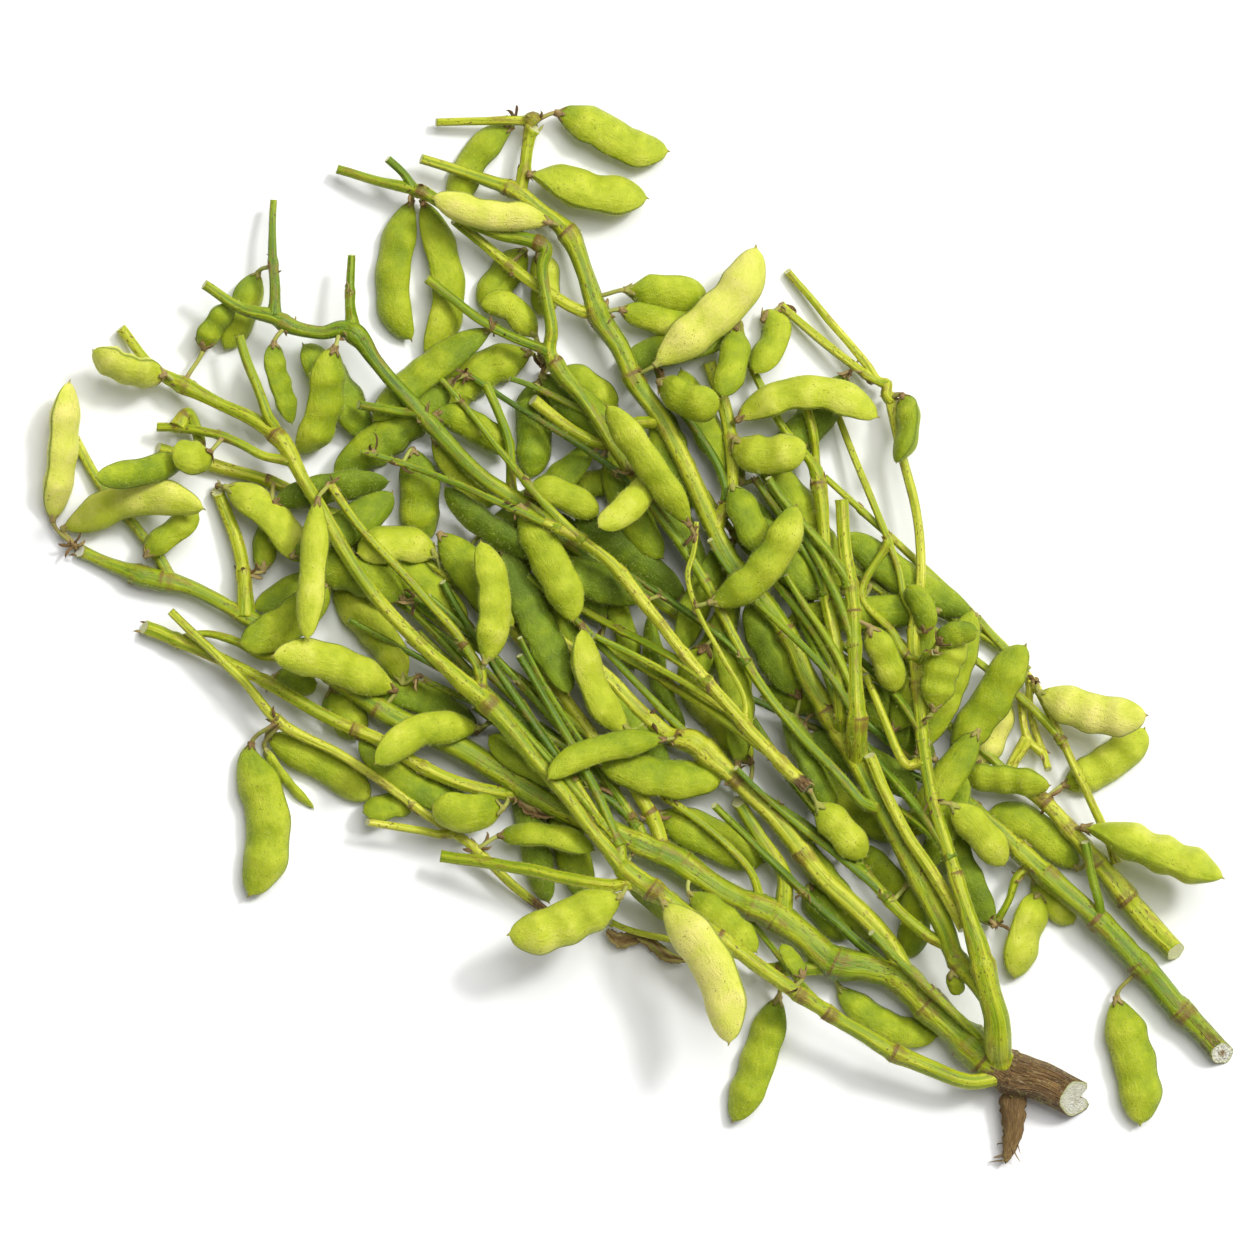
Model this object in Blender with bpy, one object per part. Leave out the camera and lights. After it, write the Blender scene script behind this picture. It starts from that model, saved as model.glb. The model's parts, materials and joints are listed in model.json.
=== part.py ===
"""Edamame pod bundle: cut soybean plants lying in a loose heap, stems, leaf-stalk stubs and pods.

Run with: blender --background --python part.py
The heap is laid piece by piece, from the ground up, as one would throw the stems on a table. Every route
below is a plan, seen from above; each piece finds its own height on what already lies under it.
"""

import math

import bmesh
import bpy
import numpy as np
from mathutils import Matrix, Vector

# Driving dimensions, in millimetres.
MM = 0.001
GAP = 0.6              # vertical clearance between pieces that rest on each other
SIDE_ROOM = 0.8        # sideways clearance of a piece in the heap
CELL = 1.0             # size of a cell of the height map
REACH = 230.0          # the height map runs from -REACH to REACH
ROUTE_STEP = 1.5       # spacing of the points that a route is worked out at
TRUE_TO = 0.5          # how far a tube's straight stretches may leave its route
BEND_RADIUS = 120.0    # how sharply a stem bends over what carries it
PEDICEL = 4.0          # length of a pod's thin stalk
PEDICEL_WIDTH = 2.2
POD_FLATNESS = 0.66    # thickness of a pod lying on its side, by its width
EDGE_HEIGHT = 1.38     # height of a pod standing on its seam, by its thickness
STEEPEST = 0.42        # greatest slope of a pod that hangs from a stem
RESTS_AT = 0.55        # the share of its length at which a loose pod balances
STALK_RUN = 3.0        # the part of a pod that hangs clear at its stem
SAMPLES = 60           # places along a pod where its height is tried
THINNEST = 0.3         # least half width that the heap takes account of
PARENT_REACH = 40.0    # how far a branch looks for the stem that it grows from
HUB_REACH = 12.0       # how far a spray of pods looks for its stem
BRANCH_ROOM = 3.0      # the part of a branch that ignores the stem it leaves
THICK = 6.0            # stems wider than this have more sides
WELD = 1e-6            # in metres: points this close are one
CREASE = math.radians(50)
STEM_SIDES = 2         # bevel resolution: 8 sides
TWIG_SIDES = 1         # bevel resolution: 6 sides

# Base colour, metallic, roughness of each kind of piece.
FINISHES = {
    "stem_woody": ((0.34, 0.32, 0.09), 0.0, 0.62),
    "stem_green": ((0.26, 0.36, 0.05), 0.0, 0.45),
    "stem_dark": ((0.08, 0.20, 0.03), 0.0, 0.42),
    "stem_light": ((0.46, 0.52, 0.14), 0.0, 0.48),
    "pod_green": ((0.30, 0.43, 0.05), 0.0, 0.50),
    "pod_light": ((0.46, 0.55, 0.13), 0.0, 0.50),
    "pod_yellow": ((0.62, 0.62, 0.17), 0.0, 0.50),
    "pod_dark": ((0.14, 0.25, 0.03), 0.0, 0.50),
}


def stem(name, finish, route, twigs=(), grows_from=None):
    """A stem and its leaf stalks; each route is (x, y, width) from the root end to the cut or the tip."""
    return {"name": name, "finish": finish, "route": route, "twigs": twigs, "parent": grows_from}


def pods(name, finish, *members, joins=None):
    """One spray of pods that hang from one point; joins names the stem that it is one piece with."""
    return {"name": name, "finish": finish, "pods": members, "joins": joins}


def pod(width, seeds, *route, edge=False):
    """A pod's plan from its stalk to its beak; edge is True where it stands on its seam."""
    return {"width": width, "seeds": seeds, "route": route, "edge": edge}


# The heap, from the ground up, in plan: x to the right, y away, in millimetres.
HEAP = [
    # Pods that lie on the ground, under the stems.
    pods("pods_cut_end", "pod_green", pod(13.5, 3, (162, -119), (164, -128), (168, -141), (171, -154),
         (170.5, -166.5))),
    pods("pods_under_right_stalk", "pod_green",
         pod(13, 2, (137, -83), (136, -92), (132, -104), (129, -117.5)),
         pod(9, 1, (137, -83), (142, -91), (149, -99))),
    pods("pods_far_right_low", "pod_green", pod(11.5, 3, (141, -54), (150, -51), (162, -44), (169, -38),
         (173, -33.5))),
    pods("shade_right", "pod_dark", pod(11, 2, (153, -84), (146, -76), (134, -66),
         (120, -61)), joins="yellow_stalk"),
    pods("pods_front_left", "pod_green", pod(12.5, 3, (52, -119), (49, -128), (45, -140), (41, -152),
         (35, -165.5))),
    pods("shade_fork", "pod_dark", pod(9.5, 3, (68, -116), (74, -124), (85, -132), (95, -135.5), (104, -136)),
         joins="main_stalk"),
    pods("shade_low_middle", "pod_dark",
         pod(13, 2, (6, -60), (16, -65), (30, -71), (46, -79)),
         pod(9.5, 1, (6, -60), (8, -52), (3, -42)), joins="main_stalk"),
    pods("shade_low_front", "pod_light", pod(10, 2, (59, -82), (62, -90), (67, -97),
         (74, -104)), joins="yellow_branch"),
    pods("shade_low_round", "pod_dark", pod(11, 2, (72, -72), (80, -77), (88, -85),
         (91, -93)), joins="middle_stem"),
    pods("shade_low_right", "pod_green", pod(9.5, 2, (101, -80), (97, -89), (96, -99),
         (93, -111)), joins="middle_stem"),
    pods("pods_low_back", "pod_green",
         pod(10.5, 2, (-31, 129), (-37, 122), (-44, 113), (-48, 105)),
         pod(9, 2, (-31, 129), (-27, 116), (-28, 103))),
    pods("pods_back_hanging", "pod_green",
         pod(11.5, 3, (-70, 146), (-75, 133), (-78, 118), (-77, 104), (-71, 95)),
         pod(12, 3, (-70, 146), (-64, 132), (-60, 118), (-60, 104), (-67, 88.5))),
    pods("shade_tip", "pod_green", pod(9.5, 2, (-34, 168), (-43, 164), (-52, 154),
         (-58, 138)), joins="middle_stem"),
    pods("pods_back_middle", "pod_green",
         pod(12.5, 3, (-28, 93), (-36, 90), (-48, 85), (-57, 77), (-55, 69)),
         pod(8.5, 2, (-28, 93), (-33, 100), (-40, 107), (-49, 107))),
    pods("shade_centre", "pod_dark",
         pod(11, 3, (-27, 86), (-31, 76), (-31, 62), (-32, 49)),
         pod(9, 2, (-27, 86), (-17, 83), (-3, 73)), joins="dark_stem"),
    pods("shade_left_high", "pod_dark", pod(9.5, 2, (-121, 122), (-126, 111), (-129, 102), (-134, 92)),
         joins="upper_left_stem"),
    pods("shade_left_end", "pod_dark", pod(9, 2, (-142, 88), (-139, 98),
         (-131, 108)), joins="long_side_shoot"),
    pods("shade_inner", "pod_dark", pod(11, 2, (-100, -16), (-95, -27), (-88, -37)), joins="main_stalk"),
    pods("shade_inner_round", "pod_light", pod(9, 1, (-122, -15), (-114, -18),
         (-103, -19)), joins="main_stalk"),
    pods("pods_far_left_hanging", "pod_green",
         pod(14, 3, (-124, -34.5), (-125.5, -44), (-120, -60), (-120, -76), (-126, -90.5)),
         pod(11, 2, (-124, -34.5), (-110, -41), (-97, -48), (-85, -58)),
         pod(4.2, 3, (-124, -34.5), (-118, -45), (-111, -54), (-104, -61))),
    pods("shade_centre_low", "pod_dark", pod(9, 2, (3, 53), (-8, 48), (-20, 47)), joins="middle_stem"),
    pods("shade_centre_round", "pod_dark", pod(11, 1, (-50, 18), (-42, 21), (-31, 23)), joins="left_branch"),
    pods("shade_seedling", "pod_green", pod(8.5, 2, (-6, 18), (-4, 8), (0, -4),
         (2, -15)), joins="upper_left_stem"),
    pods("shade_lower_left", "pod_light", pod(9, 2, (-66, -58), (-76, -59),
         (-88, -62)), joins="left_leaf_stalk"),
    pods("pods_left_centre", "pod_dark",
         pod(12.5, 3, (-69, 70), (-72, 60), (-69, 48), (-69, 36), (-66, 28)),
         pod(10, 2, (-69, 70), (-60, 57), (-52, 47), (-43, 41)),
         pod(9.5, 3, (-69, 70), (-58, 70), (-48, 65), (-37, 58))),
    # The yellow stalk at the right.
    stem("yellow_stalk", "stem_light",
         [(184, -110, 7), (172, -97, 7), (162, -85, 7.6), (154, -75, 6), (146, -66, 5), (138, -57, 5),
          (128, -49, 4)],
         [[(161, -84, 4), (163, -79, 3.4), (155, -60, 2.8), (148, -45, 2.7), (140, -28, 2.7),
           (132, -14, 2.6), (120, -1, 2.5)],
          [(139, -58, 3.2), (136, -46, 2.6), (134, -35, 2.5), (131, -22, 2.5)],
          [(144, -64, 3.2), (141, -52, 2.6), (138, -38, 2.5), (134, -24, 2.5)]]),
    pods("pods_far_right", "pod_yellow", pod(12.5, 3, (133, -20), (144, -25), (155, -29), (165, -30),
         (173, -29))),
    pods("pods_right_yellow", "pod_yellow", pod(10, 2, (114, -50), (119, -42), (123, -33), (126, -23))),
    # The dark green stalk at the right.
    stem("green_stalk", "stem_dark",
         [(200, -145, 7.5), (192, -135, 7.2), (184, -127, 8), (172, -114, 7.6), (160, -101, 7.8),
          (147, -89, 6.8),
          (137, -80, 7), (125, -69, 5.6), (113, -58.5, 5.2), (105, -52, 5.4)],
         [[(160, -101, 4), (158, -96, 3.2), (155, -85, 3), (152, -71, 2.8)],
          [(134, -79, 3.4), (130, -83, 2.8), (127, -91, 2.4), (122.5, -99, 2.6)],
          [(112, -57, 3.4), (105, -62, 2.8), (99, -64, 2.4)]]),
    # The main stalk, with a strip of root at its foot, and the spurs that its branches grow from.
    stem("main_stalk", "stem_woody",
         [(153.7, -159, 13), (139, -152, 13), (125, -146, 13.4), (114, -137.5, 11.6), (103, -128, 10.6),
          (94, -120, 10.6),
          (82, -114, 9.6), (70, -110.5, 10.2), (58, -102, 8.8), (48, -95.5, 9.6), (36, -90, 8.4),
          (25, -84, 9), (11, -75, 8.4),
          (-4, -69, 8.2), (-20, -61, 8), (-34, -53.5, 8.2), (-50, -43.5, 8), (-66, -36, 7.4),
          (-80, -28.5, 6.6),
          (-92, -20, 6.4), (-104, -12, 6), (-114, -4.5, 6), (-127, 5, 6.4), (-140, 11, 5.6),
          (-151, 15, 5.4), (-160, 16.5, 7),
          (-172, 21, 4.4), (-184, 26, 4)],
         [[(126, -145, 10), (124.5, -138, 9.4), (123, -133, 9)],
          [(124, -148, 7), (118.5, -150.8, 6)],
          [(128, -149, 9), (128.5, -158, 7.5), (128.5, -167, 5), (126, -179, 2.6)],
          [(95, -119, 7), (91.5, -112.5, 6.6)],
          [(50, -95, 6), (53, -87, 5.4), (49, -79, 5), (43, -68, 4.8), (36, -56.5, 4.6)],
          [(49, -92, 3.6), (44, -85.5, 3), (35, -74.5, 2.8), (25, -65.5, 2.8), (10, -54.5, 2.6)],
          [(69, -112, 5.4), (62, -113.5, 5), (45, -114.5, 4.6)],
          [(5, -71, 4), (3, -65.5, 3.4), (-8, -50, 3), (-18, -41, 3), (-30, -32, 2.8)],
          [(-30, -55, 5), (-42, -55.5, 4.6), (-55, -51.5, 4.5), (-70, -46, 4.4), (-82, -38, 4.3),
           (-96, -32, 4.3),
           (-110, -24.5, 4.4), (-120, -18.5, 4.3), (-135, -11, 4.4), (-150, -4.5, 4.6), (-162, 0.5, 5)],
          [(-127, 6, 5.4), (-128, 20, 4.6), (-131, 30, 4.4), (-137, 47, 4.2)],
          [(-152, 15, 4.4), (-156, 23, 3.8), (-165, 35, 3.6), (-174, 45, 3.5), (-184, 63, 3.4)],
          [(-110, -7, 3.4), (-119, -10, 3), (-130, -5, 2.8), (-143, -2.5, 2.4)]]),
    stem("left_leaf_stalk", "stem_light",
         [(-26, -95.5, 3), (-38, -86, 3.2), (-48, -76, 3.2), (-58, -69, 3), (-66, -63, 3), (-76, -56, 3),
          (-86, -49, 3),
          (-96, -42, 3.2), (-107, -36, 3.6), (-117, -30, 4), (-127, -18.5, 3.2), (-137, -9, 3),
          (-152, 5.5, 2.8)],
         [[(-56, -70, 3), (-70, -67.5, 2.6), (-87, -64.8, 2.5)],
          [(-116, -31, 3), (-121, -33.5, 2.5)]]),
    # Pods over the main stalk and under the branches.
    pods("pods_left_round", "pod_light", pod(13, 1, (-37, -60), (-44, -60.5), (-53, -62), (-65, -59))),
    pods("pods_middle_front", "pod_green", pod(10, 2, (-47, -70), (-36, -69), (-24, -69.5), (-10.5, -74.5))),
    pods("pods_front_green", "pod_green", pod(9.5, 3, (17, -86), (24, -91), (33, -98), (43.5, -108))),
    pods("pods_left_front", "pod_light", pod(10.5, 2, (-45, -33.5), (-58, -33.5), (-70, -35), (-84, -45.5))),
    pods("pods_left_hanging", "pod_light",
         pod(12, 3, (-73, -23), (-84, -18), (-95, -13), (-106, -10), (-118, -9.5)),
         pod(12.5, 3, (-73, -23), (-79, -8), (-88, 3), (-98, 13))),
    pods("shade_left_low", "pod_green", pod(8.5, 2, (-163, 20), (-157, 27), (-148, 34),
         (-142, 38)), joins="main_stalk"),
    pods("shade_left_bud", "pod_green", pod(7.5, 1, (-121, 14), (-121, 25), (-118, 38)), joins="main_stalk"),
    pods("pods_left_corner", "pod_yellow",
         pod(12, 3, (-192, 31), (-190, 44), (-188, 56), (-187, 70), (-185.5, 82.5)),
         pod(11.5, 3, (-192, 31), (-180, 36), (-168, 42), (-153, 43), (-139.5, 39))),
    # The long middle stem and what lies across it.
    stem("middle_stem", "stem_green",
         [(109, -108, 7), (102, -93, 7.2), (93, -76, 7.2), (85, -61, 7), (78, -48, 7), (71, -34, 8),
          (65, -25, 6.6), (58, -13, 6.4),
          (53, -2, 6.2), (44, 10, 6.6), (37, 18, 6.4), (30, 30, 6.2), (22, 48, 6), (12, 68, 6),
          (5, 78, 6.4), (-2, 92, 6.2),
          (-10, 106, 7.2), (-14, 118, 5.6), (-19, 130, 6.6), (-28, 138, 4.8), (-37, 145, 5.4),
          (-48, 149, 4), (-69, 156, 3.2)],
         [[(-36, 144, 4.6), (-34, 152, 4), (-33, 160, 3.8), (-31, 168, 5), (-40, 168.5, 3), (-64, 168, 2.6)],
          [(-19, 130, 4.4), (-24, 141, 3.6)],
          [(-10, 104, 4.4), (-18, 106, 4), (-35, 117, 3.6), (-46, 126, 3.5), (-58, 136, 3.5)],
          [(31, 30, 4), (35, 50, 4), (33, 70, 4.4), (27, 89, 4.4)],
          [(12, 66, 4), (4, 68, 4), (-8, 61, 4), (-20, 67, 4), (-32, 76, 4)],
          [(107, -105, 4.4), (99, -102, 3.9), (89, -92, 3.8), (79, -81, 3.6), (69, -70, 3.4)]]),
    pods("shade_root_end", "pod_light", pod(5, 1, (107, -109), (108, -114),
         (110, -122.5)), joins="middle_stem"),
    pods("pods_tip_end", "pod_green", pod(12.5, 3, (-28, 172), (-20, 170), (-10, 166), (2, 159.5),
         (14.5, 158.5))),
    pods("pods_tip_edge", "pod_light", pod(10.5, 2, (-31, 150), (-22, 148), (-10, 144),
         (7.5, 143), edge=True)),
    pods("pods_back_pair", "pod_green",
         pod(9, 2, (-9, 110), (2, 110), (14, 111), (27, 108), edge=True),
         pod(9, 2, (-9, 110), (3, 105), (14, 101), (24, 103))),
    # The dark thin stems.
    stem("dark_stem", "stem_dark",
         [(78, -58, 4), (70, -49, 3.6), (55, -33, 3.4), (41, -14, 3.4), (33, 2, 3.4), (27, 12, 3.6),
          (20, 24, 3.6), (12, 36, 3.8),
          (3, 48, 3.8), (-5, 61, 4), (-15, 76, 4.2), (-24, 88, 5.4), (-25, 98, 4.2), (-27, 110, 4),
          (-28, 120, 4),
          (-29, 127, 5), (-45, 131, 3.6), (-57, 137, 3.6), (-69, 144, 4.8), (-82, 148, 3.2), (-97, 152.5, 3)],
         [[(-23, 88, 3.6), (-38, 95.5, 3.2), (-52, 105, 3), (-67, 116, 3)],
          [(-69, 144, 3), (-74, 150, 2.6), (-80, 156, 2.5)]]),
    stem("upper_left_stem", "stem_dark",
         [(19, 3, 5), (10, 9, 5), (0, 16, 5.2), (-15, 25, 5.2), (-27, 35, 5.2), (-38, 43, 6.4),
          (-47, 49, 5.2), (-56, 58, 5.2),
          (-65, 67, 5.2), (-74, 78, 5), (-84, 89, 5), (-91, 98, 6.4), (-100, 97.5, 4.6), (-109, 99, 4.6),
          (-118, 102.5, 5.6),
          (-128, 106, 3.8), (-141, 114, 3.2)],
         [[(-91, 98, 4.4), (-92, 108, 3.4), (-91.5, 124, 2.6)],
          [(-67, 70, 3.6), (-76, 71.5, 3.2), (-90, 74, 3.2)],
          [(-117, 101, 3.8), (-117, 112, 3.5), (-118, 124, 3.8), (-118, 132, 2.6), (-117.5, 142.5, 2.4)],
          [(-37, 45, 3.8), (-39, 60, 3.2), (-43, 72, 3), (-47, 81, 3)]]),
    pods("pods_back_yellow", "pod_yellow", pod(9.5, 3, (-21, 133), (-33, 136), (-48, 137), (-65, 143))),
    pods("pods_upper_left", "pod_green", pod(13, 3, (-95, 97), (-99, 87), (-100, 75), (-104, 64),
         (-110, 57))),
    pods("shade_upper_left", "pod_green", pod(9, 3, (-117, 99), (-117, 88), (-114, 77), (-111, 67)),
         joins="upper_left_stem"),
    pods("pods_centre_green", "pod_green",
         pod(12, 3, (-38, 44), (-32, 34), (-26, 22), (-20, 10), (-18, 1)),
         pod(9.5, 2, (-38, 44), (-24, 45), (-9, 37))),
    # The branch at the right, and the stems from the middle nodes.
    stem("striped_stem", "stem_light",
         [(112, -101, 4.4), (105, -88, 4.2), (97, -76, 4), (90, -64, 4), (84, -52, 4), (80, -42, 3.8)]),
    stem("right_branch", "stem_green",
         [(122.4, -130.8, 8.6), (120, -121, 8), (117, -109, 7.8), (113, -96, 5.4), (109, -83, 4.8),
          (104, -67, 4.4),
          (100, -52, 4.2), (98, -36, 4.4), (97, -20, 5.6), (95, -4, 4), (97, 12, 3.4), (97.5, 25, 3.2),
          (96, 38, 3.2),
          (92, 53, 3.2), (89, 68, 3.4), (87, 79, 4.6), (84, 82, 3.4), (70, 99, 2.8), (53, 119, 2.5)],
         [[(87, 78, 3.6), (80, 83.5, 3), (65, 95, 3), (51, 107, 2.8)],
          [(95, -6, 3.2), (92, 12, 2.6), (87, 28, 2.5), (81, 43, 2.5), (75, 58, 2.5), (70, 71, 2.4)],
          [(96, -17, 3.6), (90, -5, 3), (84, 3, 3), (78, 10, 2.8)],
          [(99, -44, 3.4), (92, -45, 3), (85, -30, 2.8), (79, -15, 2.7)]]),
    stem("crossing_stem", "stem_green",
         [(71, -29, 5), (70, -13, 4.4), (68, 0, 4.3), (66, 12, 4.2), (66, 25, 4.2), (65, 36, 4.2),
          (63, 50, 5.4), (60, 56, 3.2),
          (52, 66, 2.8), (45, 79, 2.8), (40, 90, 2.8), (37, 99, 4), (31, 113, 2.8)],
         [[(63, 52, 3.6), (62, 64, 3), (59, 75, 3)]]),
    pods("shade_back_right", "pod_green", pod(9.5, 2, (42, 99), (48, 104), (49, 96),
         (42, 84)), joins="crossing_stem"),
    pods("shade_back_dark", "pod_dark", pod(9.5, 2, (35, 104), (36, 95), (35, 86),
         (31, 76)), joins="crossing_stem"),
    stem("cut_stem", "stem_green",
         [(76, -31, 6.4), (76, -22, 5), (75, -8, 4.8), (75, 4, 4.7), (73.5, 17, 4.6), (72, 30, 4.5),
          (71, 43, 4.5)]),
    pods("pods_right_light", "pod_light", pod(9.5, 2, (78, 4), (82, -3), (86, -11), (89.5, -22))),
    pods("pods_right_green", "pod_green", pod(11, 3, (101, -32), (102.5, -22), (105, -12), (111.5, -2))),
    pods("shade_right_tip", "pod_light", pod(8, 1, (100, -9), (106, -3), (116, -1)), joins="right_branch"),
    pods("shade_right_back", "pod_green", pod(10, 2, (89, 81), (93, 73), (93, 63),
         (89, 54)), joins="right_branch"),
    pods("shade_right_small", "pod_light", pod(8, 1, (98, -6), (99, 4), (93, 14)), joins="right_branch"),
    pods("pods_right_upper", "pod_green",
         pod(12.5, 3, (106, -47), (113, -36), (121, -25), (127, -14), (133, -5.5)),
         pod(10.5, 3, (106, -47), (118, -50), (129, -51), (141, -53))),
    pods("pods_right_low", "pod_light", pod(10.5, 2, (104, -56), (111, -62), (119, -70), (126, -79.5))),
    pods("pods_far_right_edge", "pod_green", pod(11, 3, (153, -67), (162, -69), (174, -74), (187, -79),
         (198.5, -83.5), edge=True)),
    pods("shade_olive", "pod_dark", pod(12, 2, (7, 84), (14, 79), (22, 74), (31, 76)), joins="middle_stem"),
    pods("pods_centre_bud", "pod_light", pod(9.5, 1, (8, 56), (5, 45), (-2, 38), (-10, 33))),
    pods("shade_centre_tall", "pod_light", pod(10, 2, (33, 51), (37, 42), (41, 33),
         (46, 24)), joins="middle_stem"),
    # The long light stems on top of the heap.
    stem("left_branch", "stem_green",
         [(9.5, -66, 4.8), (5, -57, 4.6), (-2, -48, 4.4), (-11, -37, 4.4), (-20, -25, 4.2),
          (-29, -12, 4.2), (-38, -1, 4.2),
          (-48, 8, 4.4), (-62, 18, 4), (-75, 27, 4), (-85, 32.5, 5), (-103, 40, 3.8), (-115, 47, 3.8),
          (-138, 54, 4.6),
          (-157, 60, 3.5)],
         [[(-84, 33, 4), (-98, 49.5, 3.5)]], grows_from="main_stalk"),
    pods("pods_centre_hairy", "pod_light", pod(12.5, 2, (44, -49), (38, -41), (30, -30), (17, -18))),
    pods("shade_centre_stub", "pod_light", pod(9, 1, (28, -2), (24, -11), (18, -19)), joins="dark_stem"),
    stem("yellow_branch", "stem_light",
         [(88, -106.8, 6.6), (75, -93, 6.4), (62, -79.5, 6.4), (46, -60, 6.2), (35, -49.5, 6.2),
          (24, -39.5, 8.6), (15, -36, 5.4),
          (5, -28.5, 5), (-5, -18, 4.6), (-18, -7.5, 4), (-37, 6, 3.8), (-50, 19, 3.4), (-62, 28, 3)],
         grows_from="main_stalk"),
    pods("pods_left_middle", "pod_light", pod(12, 2, (-60, 21), (-68, 26), (-78, 28), (-90, 24))),
    pods("pods_left_outer", "pod_light", pod(12.5, 3, (-138, 48), (-128, 44), (-117, 36), (-107, 21))),
    pods("pods_hub_right", "pod_light", pod(10.5, 2, (60, -55.5), (66, -62), (72, -69), (79.5, -77))),
    stem("top_light_stem", "stem_light",
         [(60, -53.5, 4.8), (54, -48, 4.8), (46, -40, 4.4), (37, -30, 4.2), (28, -20, 4), (20, -10.5, 4),
          (10, 2, 4), (2, 13, 4),
          (-4.5, 20, 4.6), (-14, 28, 3.2), (-28, 35, 3)],
         [[(53, -47, 3), (48, -43, 2), (38, -24, 1.9), (31, -9, 1.8), (24, 4, 1.8), (20, 16, 1.9),
           (22, 25, 1.8), (23, 35, 1.8)]]),
    stem("long_side_shoot", "stem_green",
         [(113.5, -151.2, 5.2), (105, -148, 5.2), (92, -143, 6), (80, -136, 5), (70, -130, 5),
          (50, -117, 5), (33, -104.5, 5),
          (18, -93.5, 5), (5, -84.5, 7.4), (-5, -75.5, 4.8), (-14, -64, 4.8), (-25, -50, 4.7),
          (-33, -41, 4.8), (-46, -26, 7),
          (-58, -15.5, 4.7), (-70, -4.5, 4.6), (-82, 8, 4.6), (-90, 20, 4.6), (-97, 31, 4.8),
          (-103, 42, 4.4), (-109, 51, 4.4),
          (-117, 64, 5.6), (-127, 70, 4.4), (-137, 75, 4.2), (-149, 81, 5.2), (-156, 85, 3.8),
          (-163, 93, 3.6), (-169, 100, 3.6)],
         [[(5, -83.5, 4), (-5, -70, 3.4), (-16, -53.5, 3.3), (-30, -34, 3.3), (-43, -15, 3.4)],
          [(3, -86, 5), (-10, -85.3, 4.2), (-34, -80.5, 4), (-62.5, -76, 4)],
          [(-46, -25, 5), (-50, -12, 3.4), (-60, 1, 3.2), (-70, 13, 3.1), (-80, 24, 3), (-90, 35, 3),
           (-99, 48, 3)],
          [(-117, 64, 4), (-121, 75, 3.4), (-125, 85, 3.3), (-129, 97, 3.2)],
          [(-112, 56, 3.6), (-121, 57, 3.1), (-131, 62, 3), (-144, 65.5, 3), (-157, 66.5, 3)],
          [(-149, 81, 4.2), (-147, 72, 4), (-142, 61, 4)]]),
    # The pods that lie on top.
    pods("pods_left_edge", "pod_yellow", pod(12.5, 3, (-149, 84), (-157, 84), (-167, 86), (-178, 92))),
    pods("shade_left_top", "pod_light", pod(8.5, 2, (-142, 58), (-152, 54), (-163, 51), (-176, 49)),
         joins="long_side_shoot"),
    pods("pods_left_upper", "pod_light", pod(10.5, 1, (-135, 61), (-142, 56), (-151, 58))),
    pods("pods_left_top", "pod_light", pod(8.5, 2, (-102, 47), (-103, 36), (-104, 18), (-106, -5))),
    pods("pods_top_left_light", "pod_light", pod(12, 3, (-49, -16), (-46, -8), (-44, 5), (-45, 17),
         (-49, 29))),
    pods("pods_top_centre", "pod_light", pod(11.5, 2, (4, -37), (-5, -30), (-11, -20), (-14, -10), (-15, 0))),
    pods("pods_top_edge", "pod_green", pod(8.5, 2, (17, -37), (5, -38), (-6, -40), (-17, -43.5),
         (-27, -50.5))),
    pods("pods_top_seam", "pod_light", pod(10.5, 3, (23, 30), (16, 41), (9, 51), (2, 61), (-7, 74))),
    pods("pods_top_green", "pod_green", pod(12, 3, (23, 7), (33, 10), (43, 17), (51, 28), (56, 41))),
    pods("pods_top_pair", "pod_light",
         pod(12.5, 3, (33, 66), (43, 73), (56, 77.5), (70, 76.5), (84, 69)),
         pod(12, 2, (33, 66), (39, 59), (48, 57), (60, 60))),
    pods("pods_top_yellow", "pod_yellow", pod(13.5, 3, (6, 84), (14, 91), (25, 100), (37, 112), (43.5, 127))),
    pods("pods_front_right", "pod_yellow", pod(14.5, 3, (9, -88), (17, -97), (26, -108), (32, -121),
         (34, -138.5))),
    pods("pods_front", "pod_light", pod(14, 3, (2, -87), (-10, -93), (-20, -98), (-30, -101.5),
         (-40, -101.5))),
    pods("shade_bud", "pod_light", pod(6.5, 1, (60.5, -120), (57, -114),
         (51, -105)), joins="long_side_shoot"),
]


class HeightMap:
    """The top of what is already laid, as heights on a square grid over the ground."""

    def __init__(self):
        side = int(2 * REACH / CELL)
        self.axis = -REACH + CELL * (np.arange(side) + 0.5)
        self.top = np.zeros((side, side))

    def window(self, x, y, half_width):
        """The cells under a round lens at x, y: their slices, and the lens's height there, from 0 to 1."""
        reach = half_width + SIDE_ROOM
        i0, i1 = np.searchsorted(self.axis, (x - reach, x + reach))
        j0, j1 = np.searchsorted(self.axis, (y - reach, y + reach))
        across = (self.axis[i0:i1, None] - x) ** 2 + (self.axis[None, j0:j1] - y) ** 2
        return (slice(i0, i1), slice(j0, j1)), np.sqrt(np.clip(1 - across / reach**2, 0, None))

    def rest(self, x, y, half_width, half_height):
        """The lowest height of the lens's centre that clears the heap and the ground."""
        cells, lens = self.window(x, y, half_width)
        under = self.top[cells]
        needed = (under + GAP + lens * half_height)[(lens > 0) & (under > 0)]
        return max(half_height, needed.max(initial=0.0))

    def add(self, x, y, z, half_width, half_height):
        cells, lens = self.window(x, y, half_width)
        covered = np.where(lens > 0, z + lens * half_height, 0)
        self.top[cells] = np.maximum(self.top[cells], covered)


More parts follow.
